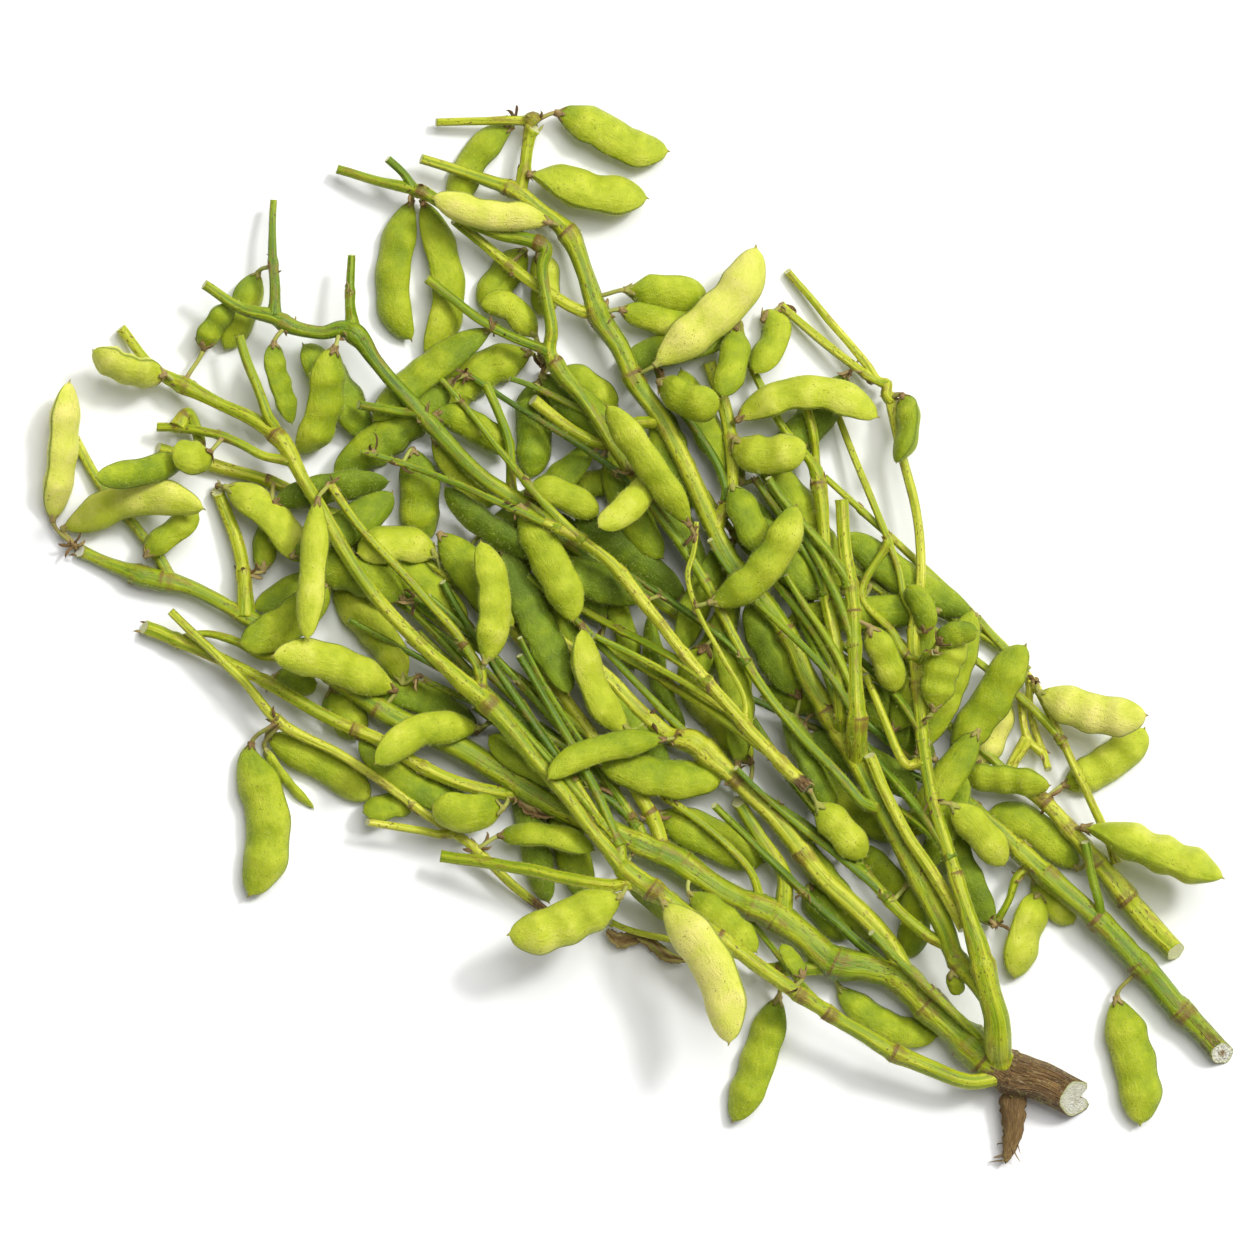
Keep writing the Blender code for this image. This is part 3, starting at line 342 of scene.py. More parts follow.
def carried_frames(points):
    """A direction along the line, and two across it that turn as little as they can."""
    ahead = unit(np.gradient(points, axis=0))
    start = np.cross(ahead[0], (0.0, 0.0, 1.0))
    if np.linalg.norm(start) < 0.1:
        start = np.cross(ahead[0], (0.0, 1.0, 0.0))
    side = [unit(start)]
    for direction in ahead[1:]:
        side.append(unit(side[-1] - direction * (side[-1] @ direction)))
    side = np.array(side)
    return ahead, side, np.cross(ahead, side)


# ---------------------------------------------------------------- pieces

def linked(name, data):
    """A new object of this mesh, lamp or lens, in the scene."""
    obj = bpy.data.objects.new(name, data)
    bpy.context.scene.collection.objects.link(obj)
    return obj


def skin_start(dice):
    """Where a skin's pattern starts, in millimetres, so that no two pieces share it."""
    return dice.uniform(0, 900)


class Piece:
    """A mesh in the making, of sheets rolled into closed tubes, with the marks that its finish reads."""

    def __init__(self, name, marks):
        self.name = name
        self.mesh = bmesh.new()
        self.mesh.loops.layers.uv.new("UVMap")
        self.skin = self.mesh.verts.layers.float_vector.new("skin")
        self.marks = {mark: self.mesh.verts.layers.float.new(mark) for mark in marks}

    def roll(self, around, along, shape):
        """Rolls a sheet round; shape turns each corner's angle and row into its point, skin and marks."""
        sheet = bmesh.ops.create_grid(
            self.mesh, x_segments=around, y_segments=along, size=0.5, calc_uvs=True)["verts"]
        flat = np.array([corner.co for corner in sheet])
        angle = (flat[:, 0] + 0.5) * 2 * math.pi
        row = np.rint((flat[:, 1] + 0.5) * along).astype(int)
        points, skin, marks = shape(angle, row)
        points = np.clip(points, *INSIDE)
        for corner, point, place in zip(sheet, points.tolist(), skin.tolist()):
            corner.co = point
            corner[self.skin] = place
        for mark, values in marks.items():
            layer = self.marks[mark]
            for corner, value in zip(sheet, np.broadcast_to(values, len(sheet)).tolist()):
                corner[layer] = value
        bmesh.ops.remove_doubles(self.mesh, verts=sheet, dist=1e-7)

    def roll_tube(self, around, points, radii, offset, tone, flatness=1.0, lobes=None):
        """Rolls a plain tube along a line, from its half widths; flatness is its thickness over its width."""
        ahead, side, over = carried_frames(points)
        runs = runs_of(points)
        tone = np.broadcast_to(tone, len(points))

        def shape(angle, row):
            reach = radii[row] if lobes is None else radii[row] * lobes(angle, row)
            cos, sin = np.cos(angle), np.sin(angle)
            place = (points[row] + side[row] * (reach * cos)[:, None]
                     + over[row] * (reach * sin * flatness)[:, None])
            skin = np.column_stack([radii[row] * cos / MM, radii[row] * sin / MM, runs[row] / MM + offset])
            return place, skin, {"tone": tone[row]}

        self.roll(around, len(points) - 1, shape)

    def finished(self, material, slot, *nodes):
        """Makes the piece, unless nothing was rolled for it."""
        if not self.mesh.faces:
            self.mesh.free()
            return None
        bmesh.ops.recalc_face_normals(self.mesh, faces=self.mesh.faces)
        for face in self.mesh.faces:
            face.smooth = True
        data = bpy.data.meshes.new(self.name)
        self.mesh.to_mesh(data)
        self.mesh.free()
        data.materials.append(material)
        piece = linked(self.name, data)
        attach(piece, "root")
        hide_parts(*nodes)
        return piece


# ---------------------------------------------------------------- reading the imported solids

def merged(node):
    """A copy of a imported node's mesh with its loose triangles joined."""
    solid = bmesh.new()
    solid.from_mesh(frame["nodes"][node].data)
    bmesh.ops.remove_doubles(solid, verts=solid.verts, dist=2e-6)
    solid.normal_update()
    return solid


def neighbours(corner):
    """The corners at the far ends of this one's edges."""
    return {edge.other_vert(corner) for edge in corner.link_edges}


def rings_back_from(beak):
    """The rings of six corners behind a pod's beak, one after another, as far as they go."""
    seen, ring, rings = {beak}, neighbours(beak), [[beak]]
    while len(ring) == 6:
        rings.append(list(ring))
        seen |= ring
        ring = set().union(*(neighbours(corner) for corner in ring)) - seen
    return rings


def pods_in(solid, fewest):
    """The rings of each pod in a solid: a beak is a corner with six edges and enough rings behind it."""
    found = []
    for corner in solid.verts:
        if len(corner.link_edges) == 6:
            rings = rings_back_from(corner)
            if len(rings) >= fewest:
                found.append(rings)
    return found


def section(ring):
    """A ring's middle, its half width and half thickness, and the directions of both."""
    points = np.array([corner.co for corner in ring])
    middle = points.mean(axis=0)
    spread, directions = np.linalg.eigh(np.cov((points - middle).T, bias=True))
    halves = np.sqrt(np.maximum(2 * spread, 0))
    return middle, halves[2], halves[1], directions[:, 2], directions[:, 1]


def stem_sections(solid, taken):
    """Middles and half widths of a stem solid's rings, found across it, and which rings share edges."""
    tree = BVHTree.FromBMesh(solid)
    corners, middles, halves = [], [], []
    for corner in solid.verts:
        if corner in taken:
            continue
        hit = tree.ray_cast(corner.co - corner.normal * 1e-5, -corner.normal)[0]
        if hit is not None:
            corners.append(corner)
            middles.append((corner.co + hit) / 2)
            halves.append((hit - corner.co).length / 2)
    middles, halves = np.array(middles), np.array(halves)
    free = np.ones(len(corners), bool)
    owner, rings = {}, []
    for first in np.argsort(halves):
        if not free[first]:
            continue
        half = halves[first]
        close = free & (np.abs(halves - half) < 0.25 * half + 0.1 * MM)
        near = close & (np.linalg.norm(middles - middles[first], axis=1) < 0.22 * half + 0.15 * MM)
        if near.sum() < 4:
            continue
        centre = middles[near].mean(axis=0)
        near = close & (np.linalg.norm(middles - centre, axis=1) < 0.25 * half + 0.15 * MM)
        members = [corners[number] for number in np.nonzero(near)[0]]
        points = np.array([corner.co for corner in members])
        centre = points.mean(axis=0)
        owner.update({corner: len(rings) for corner in members})
        rings.append((centre, float(np.linalg.norm(points - centre, axis=1).mean())))
        free &= ~near
    shared = collections.Counter()
    for edge in solid.edges:
        a, b = (owner.get(corner) for corner in edge.verts)
        if a is not None and b is not None and a != b:
            shared[min(a, b), max(a, b)] += 1
    return rings, shared


def rows_of(rings, shared):
    """Joins rings into rows, end to end, wherever they share edges and lie in line."""
    links = collections.defaultdict(list)
    for (a, b), edges in sorted(shared.items(), key=lambda item: (-item[1], item[0])):
        if edges < 2:
            continue
        fits = True
        for here, there in ((a, b), (b, a)):
            if len(links[here]) >= 2:
                fits = False
            elif links[here]:
                back = unit(rings[links[here][0]][0] - rings[here][0])
                fits = fits and float(back @ unit(rings[there][0] - rings[here][0])) < -0.3
        if fits:
            links[a].append(b)
            links[b].append(a)
    seen, rows = set(), []
    for start in range(len(rings)):
        if start in seen or len(links[start]) == 2:
            continue
        row = [start]
        seen.add(start)
        while True:
            ahead = [ring for ring in links[row[-1]] if ring not in seen]
            if not ahead:
                break
            row.append(ahead[0])
            seen.add(ahead[0])
        points = np.array([rings[ring][0] for ring in row])
        if len(row) > 1 and runs_of(points)[-1] >= LEAST_RUN:
            rows.append((points, np.array([rings[ring][1] for ring in row])))
    return rows


# ---------------------------------------------------------------- stems

# A stem that springs from another one, which its own solid stops just short of, and how far it may reach.
GROWS_FROM = {"right_branch": ("main_stalk", 0.028), "middle_stem": ("right_branch", 0.028),
              "long_side_shoot": ("main_stalk", 0.028), "left_branch": ("main_stalk", 0.028),
              "yellow_branch": ("main_stalk", 0.028), "crossing_stem": ("middle_stem", 0.028),
              "cut_stem": ("middle_stem", 0.028), "dark_stem": ("middle_stem", 0.060)}
STEM_STEP = 0.8 * MM
JOINT_GAP = 8 * MM
ROOT_END_Y = -0.165      # only the strip of root reaches past this
ROOT_ROWS, FIBRES = 26, 16
BARK_FROM, BARK_TO = 0.112, 0.124   # the main stalk's bark comes in between these, towards its butt

# How steeply the free ends of the thick stems are cut, as the tangent of the angle.
SLANTS = {"main_stalk": 0.85, "green_stalk": 1.0, "yellow_stalk": 0.7}
BITTEN = unit((0.2, 0.7, -1.0))   # the side of the butt's face that a notch is broken out of
# Joints that the solids don't show, from the stem's root.
EXTRA_JOINTS = {"green_stalk": (0.022, 0.043, 0.070, 0.098), "right_branch": (0.075, 0.105),
                "main_stalk": (0.036, 0.062, 0.098, 0.130, 0.165), "long_side_shoot": (0.080, 0.112),
                "middle_stem": (0.110, 0.140), "top_light_stem": (0.060,), "yellow_branch": (0.055,)}
# How far the dried skin runs up from a free root.
DRY_STARTS = {"top_light_stem": 0.006, "left_leaf_stalk": 0.010, "long_side_shoot": 0.006,
              "right_branch": 0.008}
# A cut face, from its rim to its middle: how far in it is, and how wide that leaves it.
FACE = [(0.0, 1.0), (0.30, 0.93), (0.60, 0.74), (0.85, 0.46), (0.97, 0.20), (1.0, 0.0)]

# Scraps of dried leaf, in millimetres: both ends and the half width.
SCRAPS = [((-11, -99, 3.6), (5, -103, 3.0), 2.8), ((-1, -101, 4.2), (17, -109, 3.0), 2.4),
          ((-42, -53, 9.5), (-21, -62, 10.5), 3.0), ((-36, -56, 10.5), (-24, -58, 11.5), 2.2)]
# A thin shoot over the first scraps, in millimetres: a place near its stem, and its tip.
LOW_SHOOT = ((31, -118, 8), (-10, -95, 5.5))


class Stem:
    """One stem or leaf stalk: its line from root to tip, its half widths, and its joints."""

    def __init__(self, node, points, halves):
        self.node, self.knots, self.halves = node, points, halves
        self.joined = False
        self.joints = []

    def turn(self):
        self.knots, self.halves = self.knots[::-1], self.halves[::-1]

    def grow_from(self, *points):
        """Lengthens the stem at its root, through these points."""
        self.knots = np.vstack([*points, self.knots])
        self.halves = np.concatenate([np.full(len(points), self.halves[0] * 1.1), self.halves])
        self.joined = True

    def settle(self):
        """Works out the fine line, once the ends are known."""
        runs = runs_of(self.knots)
        count = max(6, int(runs[-1] / STEM_STEP))
        self.runs = np.linspace(0, runs[-1], count + 1)
        self.line = flow(runs, self.knots, self.runs)
        self.half = np.maximum(flow(runs, self.halves, self.runs), 0.6 * self.halves.min())
        middle = self.halves[1:-1]
        beside = np.minimum(self.halves[:-2], self.halves[2:])
        around = (self.halves[:-2] + self.halves[2:]) / 2
        swollen = (middle > 1.10 * around) | (middle > 1.22 * beside) & (middle > around)
        self.joints = list(runs[1:-1][swollen])
        return self

    def nearest(self, point):
        """How near the stem comes to a point, and where on its line."""
        away = np.linalg.norm(self.line - point, axis=1)
        index = int(away.argmin())
        return float(away[index]), index

    def spring(self, point, course):
        """Where a twig that starts here and runs this way leaves the stem: near, and without a hook."""
        apart = point - self.line
        away = np.linalg.norm(apart, axis=1)
        turned = 1 - (apart / np.maximum(away, 1e-6)[:, None]) @ course
        return int(np.where(away < away.min() + 7 * MM, away * (1 + 3 * turned), 1).argmin())


def joined_rows(node, rows):
    """The stem of a solid's longest row, and its other rows as the twigs of it, nearest first."""
    rows = sorted(rows, key=lambda row: -runs_of(row[0])[-1])
    rest = [Stem(node, points, halves) for points, halves in rows]
    if not rest:
        return []
    if rest[0].halves[-2] > rest[0].halves[1]:
        rest[0].turn()
    grown = [rest.pop(0).settle()]
    while rest:
        away, index, number, end, parent = min(
            (*other.nearest(stem.knots[end]), number, end, parent)
            for number, stem in enumerate(rest) for end in (0, -1) for parent, other in enumerate(grown))
        stem = rest.pop(number)
        if end == -1:
            stem.turn()
        if away < PARENT_REACH:
            index = grown[parent].spring(stem.knots[0], unit(stem.knots[1] - stem.knots[0]))
            stem.grow_from(grown[parent].line[index])
            grown[parent].joints.append(grown[parent].runs[index])
        grown.append(stem.settle())
    return grown


def read_stems(solids, taken):
    """Every stem of the solids, drawn on to the stem that it springs from."""
    stems = []
    for node, solid in solids.items():
        if not node.startswith("pods_"):
            stems += joined_rows(node, rows_of(*stem_sections(solid, taken[node])))
    firsts = {}
    for stem in stems:
        firsts.setdefault(stem.node, stem)
    for node, (parent, reach) in GROWS_FROM.items():
        stem, host = firsts[node], firsts[parent]
        away, index = host.nearest(stem.knots[0])
        if away >= reach:
            continue
        back = max(0, index - int(max(6 * MM, 0.9 * away) / STEM_STEP))
        toward = unit(stem.knots[1] - stem.knots[0])
        if node == "middle_stem":
            back = host.spring(stem.knots[0], toward)
        start, end = host.line[back], stem.knots[0]
        if away > 15 * MM:
            stem.grow_from(*bent(start, unit(host.line[back + 3] - start), end, toward, 5)[:-1])
        else:
            stem.grow_from(start)
        stem.settle()
        host.joints.append(host.runs[index])
    return stems


def spaced(places, gap):
    """The places in order, without those too close behind another."""
    kept = []
    for place in sorted(places):
        if not kept or place - kept[-1] > gap:
            kept.append(place)
    return kept


def bark_on(stem):
    """How much of the skin is bark or dried, along the stem."""
    bark = np.zeros(len(stem.runs))
    if stem.node == "main_stalk":
        bark = np.clip((stem.line[:, 0] - BARK_FROM) / (BARK_TO - BARK_FROM), 0, 1) * (stem.half > STOUT)
    if stem.node in DRY_STARTS and not stem.joined:
        bark = np.maximum(bark, hump(stem.runs, DRY_STARTS[stem.node]))
    if stem.node == "green_stalk" and not stem.joined:
        bark = np.clip(0.52 - stem.runs / 0.15, 0, 0.45)
    return bark


def grow_stem(piece, stem, dice, tone):
    """Rolls one stem: grooved, swollen and scarred at its joints, with a slanted cut at each free end."""
    half, runs = stem.half.copy(), stem.runs
    knot = np.zeros(len(runs))
    if stem.runs[-1] > 0.12:
        stem.joints += EXTRA_JOINTS.get(stem.node, ())
    stem.joints = spaced(stem.joints, JOINT_GAP)
    for place in stem.joints:
        away = (runs - place) / MM
        scale = max(1.0, half.mean() / (2 * MM))
        half *= 1 + 0.13 * hump(away, 2.0 * scale)
        half *= 1 + 0.07 * hump(away, 0.8, 1.2 * scale) - 0.05 * hump(away, 1.4, 3.2 * scale)
        knot = np.maximum(knot, dice.uniform(0.35, 1.0) * hump(away, 0.75, 1.2 * scale))
        knot = np.maximum(knot, dice.uniform(0.2, 0.55) * hump(away, 2.4, -0.5))
    if stem.joined:
        flare = 0.35 if half[0] < 2.2 * MM else 0.10 if half[0] < 4 * MM else -0.25
        half *= 1 + flare * hump(runs, 1.8 * half[0])
        knot = np.maximum(knot, dice.uniform(0.2, 0.6) * hump(runs, 1.4 * MM, 1.5 * half[0]))
    places = np.linspace(0, runs[-1], max(3, int(runs[-1] / 0.022)))
    tones = tone + dice.uniform(-0.08, 0.08) + np.interp(runs, places, dice.uniform(-0.12, 0.12, len(places)))
    bark = bark_on(stem)
    last = len(runs) - 1
    rows = [(0, share, cut) for cut, share in reversed(FACE)]
    rows += [(inner, 1.0, 0.0) for inner in range(1, last)]
    rows += [(last, share, cut) for cut, share in FACE]
    index, share, cut = (np.array(column) for column in zip(*rows))
    if stem.joined:
        cut[index == 0] = 0
    butt = stem.node == "main_stalk" and half[0] > 4 * MM
    if butt:
        palest = 0.88
    elif stem.node == "green_stalk" and half[0] > STOUT:
        palest = 1.0
    else:
        palest = 0.24
    cut = np.minimum(cut, palest)
    ahead, side, over = carried_frames(stem.line)
    steep = SLANTS.get(stem.node, 0.35) if half.max() > STOUT else dice.uniform(0.1, 0.6)
    near_start = hump(runs, 1.2 * half[0])
    near_end = hump(runs, 1.2 * half[-1], runs[-1])
    slant = steep * (near_end - near_start * (not stem.joined))
    middle = stem.line - ahead * (slant * half * 0.9)[:, None]
    sturdy = half.mean() > SLIM
    ridges, depth = (5, 0.045) if sturdy else (4, 0.06)
    phase = dice.uniform(0, 6.28)
    offset, twist = skin_start(dice), dice.uniform(-12, 12)
    places = np.arange(0, runs[-1] + 0.03, 0.009)
    lumps = np.interp(runs, places, dice.uniform(-0.05, 0.05, len(places)))
    scarred = np.interp(runs, places, dice.uniform(0, 9, len(places)))
    sway = [np.interp(runs, places, dice.uniform(-0.10, 0.10, len(places))) * half for _ in range(2)]
    bite = 0.78 if butt else 0.0
    gone = math.atan2(BITTEN @ over[0], BITTEN @ side[0])

    def shape(angle, row):
        at = index[row]
        wave = np.cos(ridges * angle + phase + runs[at] * twist)
        reach = half[at] * share[row] * (1 + lumps[at])
        reach = reach * (1 + depth * wave + 0.02 * np.cos(2 * angle + phase))
        aside = np.mod(angle - gone + math.pi, 2 * math.pi) - math.pi
        reach = reach * (1 - bite * near_start[at] * hump(aside, 0.38))
        cos, sin = np.cos(angle), np.sin(angle)
        off = (side[at] * (reach * cos + sway[0][at])[:, None]
               + over[at] * (reach * sin + sway[1][at])[:, None])
        place = middle[at] + off - ahead[at] * (slant[at] * (off @ UP))[:, None]
        skin = np.column_stack([reach * cos / MM, reach * sin / MM, runs[at] / MM + offset])
        # The mark from the grooves carries the painted shade in them.
        return place, skin, {"tone": tones[at], "bark": bark[at], "cut": cut[row], "groove": 0.5 - 0.5 * wave,
                             "knot": knot[at] * (0.72 + 0.5 * np.cos(angle - scarred[at]))}

    around = 24 if half.max() > 4.2 * MM else 18 if sturdy else 12
    piece.roll(around, len(rows) - 1, shape)


def grow_root(piece, stem, dice):
    """The torn strip of root: flat, ridged and brown, fraying into fibres at its tip."""
    knots = stem.knots if stem.knots[0, 1] > stem.knots[-1, 1] else stem.knots[::-1]
    runs = runs_of(knots)
    fine = np.linspace(0, runs[-1], ROOT_ROWS)
    line = flow(runs, knots, fine)
    line[:4, 2] += np.linspace(2.5, 0, 4) * MM
    share = fine / fine[-1]
    wide = np.interp(share, [0, 0.12, 0.35, 0.7, 0.92, 1], np.array([0, 3.6, 4.3, 2.9, 1.5, 0]) * MM)
    torn = dice.uniform(-0.14, 0.14, (ROOT_ROWS, 9))

    def lobes(angle, row):
        column = (np.mod(angle, 2 * math.pi) / (2 * math.pi) * 9).astype(int) % 9
        return 1 + torn[row, column] + 0.08 * np.cos(7 * angle)

    tone = np.interp(share, [0, 0.5, 1], [0.10, 0.22, 0.34])
    piece.roll_tube(18, line, wide, skin_start(dice), tone, flatness=0.5, lobes=lobes)
    heading = unit(line[-1] - line[-6])
    for number in range(FIBRES):
        late = number < 10
        root = line[int(dice.integers(17, 25))] if late else line[int(dice.integers(2, 12))]
        out = dice.normal(0, 1, 3) * (1, 1, 0.25)
        out = unit((heading if late else 0) + 0.9 * unit(out))
        reach = dice.uniform(4.0, 8.5) * MM if late else dice.uniform(3.5, 6.0) * MM
        end = root + out * reach
        end[1] = max(end[1], cad_low[1] + dice.uniform(0.6, 4.0) * MM)
        end[2] = max(end[2], 0.0006)
        end[:2] = np.clip(end[:2], np.array(cad_low)[:2] + 0.0004, np.array(cad_high)[:2] - 0.0004)
        away = unit(end - root)
        leaving = unit(away + dice.normal(0, 0.5, 3))
        arriving = unit(away + dice.normal(0, 0.6, 3) * (1, 0.3, 1))
        fibre = bent(root, leaving, end, arriving, 8)
        fibre[:, 2] = np.maximum(fibre[:, 2], 0.0005)
        radii = np.interp(np.linspace(0, 1, 8), [0, 0.1, 0.8, 1], np.array([0, 0.32, 0.16, 0]) * MM)
        piece.roll_tube(6, fibre, radii, skin_start(dice), dice.uniform(0.15, 0.6))


# ---------------------------------------------------------------- pods

class Pod:
    """One pod's plan, from the stalk to the beak."""

    def __init__(self, node):
        self.node = node

    def read(self, rings):
        """Takes the plan from the rings of a packed pod."""
        read = [section(ring) for ring in reversed(rings[1:])]
        beak = np.array(rings[0][0].co)
        is_body = [item[1] >= POD_NECK or np.linalg.norm(item[0] - beak) < BEAK_LENGTH for item in read]
        body = [item for item, fits in zip(read, is_body) if fits]
        stalk = [item for item, fits in zip(read, is_body) if not fits]
        first = body[0]
        if stalk:
            base, self.hub = stalk[-1][0], stalk[0][0]
        else:
            # The solid is cut short under another one, so the neck is drawn on.
            heading = unit(first[0] - body[1][0])
            so_far = np.linalg.norm(first[0] - beak)
            base = first[0] + heading * max(2.2 * MM, 1.5 * first[1], min(13 * MM, 31 * MM - so_far))
            self.hub = base + heading * 3 * MM
        self.whole = len(stalk) > 1
        self.full = max(item[1] for item in body)
        solid = [item for item in body if item[1] > 0.6 * self.full]
        self.ratio = float(np.mean([item[2] / item[1] for item in solid]))
        halves = np.array([0, *[item[1] for item in body], 0.0])
        wide = np.array([item[3] for item in solid])
        thick = np.array([item[4] for item in solid])
        self.on_edge = bool(np.abs(thick[:, 2]).mean() <= 0.7)
        axes = wide if self.on_edge else thick
        self.plan(np.vstack([base, *[item[0] for item in body], beak]), halves,
                  unit((axes * np.sign(axes[:, 2:])).mean(axis=0)))
        return self

    def plan(self, points, halves, over):
        """Sets the line; its widest places are the seeds, and over is the way that the flat side faces."""
        self.points, self.over = points, over
        self.runs = runs_of(points)
        self.length = self.runs[-1]
        self.seeds = [run for run, half in zip(self.runs, halves) if half > 0.965 * self.full]

    def half_at(self, share):
        """The half width at a share of the length: a neck, an even body and a rounded end with a beak."""
        body = np.sin(np.clip(share / 0.31, 0, 1) * math.pi / 2) ** 0.92
        end = np.clip(1 - np.clip((share - 0.68) / 0.295, 0, 1) ** 2.4, 0, 1) ** 0.68
        least = np.interp(share, [0, 0.05, 0.1, 0.95, 0.985, 1], [0.14, 0.15, 0.10, 0.07, 0.05, 0])
        return self.full * np.maximum(body * end, least)


def grow_pod(piece, pod, ripeness, dice, detailed):
    """Rolls one pod: it swells over each seed and has a seam with a raised lip along both edges."""
    along = POD_ALONG if detailed else 2 * POD_ALONG // 3
    even = np.linspace(0, 1, along + 1)
    share = 0.35 * even + 0.65 * (0.5 - 0.5 * np.cos(math.pi * even))
    runs = pod.length * share
    line = flow(pod.runs, pod.points, runs)
    wide = pod.half_at(share)
    wide[0] = wide[-1] = 0
    wide = wide * 1.03
    spacing = np.diff(pod.seeds).mean() if len(pod.seeds) > 1 else 0.42 * pod.length
    swell = np.clip(sum(hump(runs, 0.38 * spacing, seed) for seed in pod.seeds), 0, 1)
    waist = np.clip(share / 0.3, 0, 1) * np.clip((1 - share) / 0.2, 0, 1) * (1 - swell)
    ratio = pod.ratio * (0.77 + 0.28 * swell * dice.uniform(0.8, 1.2))
    ahead = unit(np.gradient(line, axis=0))
    if pod.on_edge:
        across = unit(pod.over - ahead * (ahead @ pod.over)[:, None])
    else:
        across = unit(np.cross(pod.over, ahead))
    over = np.cross(ahead, across)
    turn = dice.normal(0, 14) + (dice.choice([-1, 1]) * dice.uniform(22, 44) if dice.random() < 0.50 else 0)
    twist = math.radians(dice.uniform(-14, 14))
    roll = math.radians(turn) * np.clip(share / 0.25, 0, 1) + twist * (share - 0.5)
    across, over = (across * np.cos(roll)[:, None] + over * np.sin(roll)[:, None],
                    over * np.cos(roll)[:, None] - across * np.sin(roll)[:, None])
    lip = 0.42 * MM * np.clip(wide / (0.35 * pod.full), 0, 1)
    offset, tone = skin_start(dice), ripeness + dice.uniform(-0.08, 0.08)
    lean, dorsal = dice.uniform(-0.10, 0.10), dice.choice([-1, 1])
    depth = dice.uniform(0.11, 0.21), dice.uniform(0.03, 0.08)
    bend = dice.choice([-1, 1]) * dice.uniform(0.3, 0.9) * MM
    hook = bend * np.clip((share - 0.955) / 0.045, 0, 1) ** 1.5

    def shape(angle, row):
        cos, sin = np.cos(angle), np.sin(angle)
        edge = hump(sin, 0.16)
        belly = np.where(cos * dorsal > 0, depth[0], depth[1])
        out = (wide[row] * np.sign(cos) * np.abs(cos) ** 0.95 * (1 - belly * waist[row])
               + np.sign(cos) * lip[row] * edge)
        up = wide[row] * ratio[row] * np.sign(sin) * np.abs(sin) ** 1.04
        bumps = np.array([noise.noise(Vector((x * 1.1, y * 1.1, run * 0.10 + offset)))
                          for x, y, run in zip(cos, sin, runs[row] / MM)])
        swelled = 1 + 0.030 * bumps
        place = (line[row] + across[row] * (out * swelled + hook[row])[:, None]
                 + over[row] * (up * swelled)[:, None])
        place[:, 2] = np.maximum(place[:, 2], 0.0003)
        skin = np.column_stack([out / MM, up / MM, runs[row] / MM + offset])
        back = edge * (0.5 + 0.5 * np.sign(cos) * dorsal)
        tones = tone + lean * cos + 0.10 * (share[row] - 0.5)
        # The swell mark carries the painted light over the seed bulges.
        return place, skin, {"tone": tones, "swell": swell[row] * np.abs(sin) ** 0.5,
                             "seam": np.clip(back + 0.6 * edge, 0, 1), "along": share[row]}

    piece.roll(POD_AROUND if detailed else 2 * POD_AROUND // 3, along, shape)


def add_stalk(piece, pod, stems, dice):
    """The pod's thin stalk, curved into the stem that it grows on, and the lobed cup that holds the pod."""
    base, heading = pod.points[0], unit(pod.points[1] - pod.points[0])
    away, index, number = min((*stem.nearest(pod.hub), number) for number, stem in enumerate(stems))
    if away < POD_REACH:
        start = stems[number].line[index]
        stems[number].joints.append(stems[number].runs[index])
    else:
        start = pod.hub - heading * 1.5 * MM
    leaving = unit(heading + 0.5 * UP + dice.uniform(-0.3, 0.3, 3))
    line = bent(start, leaving, base + heading * 1.0 * MM, heading, 12)
    share = np.linspace(0, 1, 12)
    radii = np.interp(share, [0, 0.1, 0.25, 0.75, 1], np.array([1.3, 1.2, 0.80, 0.72, 0.95]) * MM)
    radii[[0, -1]] = 0
    tone = dice.uniform(0.62, 0.95) + np.interp(share, [0, 0.2, 0.4, 1], [-0.45, -0.3, 0, -0.05])
    piece.roll_tube(STALK_AROUND, line, radii, skin_start(dice), tone)
    add_cup(piece, pod, dice)
    if dice.random() < 0.55:
        add_tuft(piece, start + (line[3] - start) * 0.7, dice)


def add_cup(piece, pod, dice):
    """The small five-lobed cup at a pod's neck, pressed to the pod."""
    base, heading = pod.points[0], unit(pod.points[1] - pod.points[0])
    deep = dice.uniform(2.6, 4.0) * MM
    side = unit(np.cross(heading, pod.over))
    over = np.cross(heading, side)
    share = np.array([-0.06, -0.05, 0.12, 0.40, 0.70, 1.0, 1.0, 0.9])
    proud = np.array([0.0, 0.22, 0.36, 0.28, 0.20, 0.12, -0.05, -0.30]) * MM
    phase, offset, tone = dice.uniform(0, 6.28), skin_start(dice), dice.uniform(0.40, 0.85)

    def shape(angle, row):
        cos, sin = np.cos(angle), np.sin(angle)
        lobe = 0.42 + 0.58 * np.abs(np.cos(2.5 * angle + phase)) ** 1.8
        run = share[row] * deep * np.where(share[row] > 0.2, lobe, 1)
        wide = pod.half_at(np.clip(run, 0.2 * MM, None) / pod.length) + proud[row]
        wide = np.where(row == 0, 0, wide)
        flat = 1 - (1 - 0.9 * pod.ratio) * np.clip(run / deep, 0, 1) * 0.6
        beside, above = (wide * flat, wide) if pod.on_edge else (wide, wide * flat)
        place = base + heading * run[:, None] + side * (beside * cos)[:, None] + over * (above * sin)[:, None]
        skin = np.column_stack([wide * cos / MM, wide * sin / MM, run / MM + offset])
        return place, skin, {"tone": tone - 0.20 * np.clip(run / deep, 0, 1) - 0.2 * hump(run / deep, 0.2)}

    piece.roll(20, 7, shape)


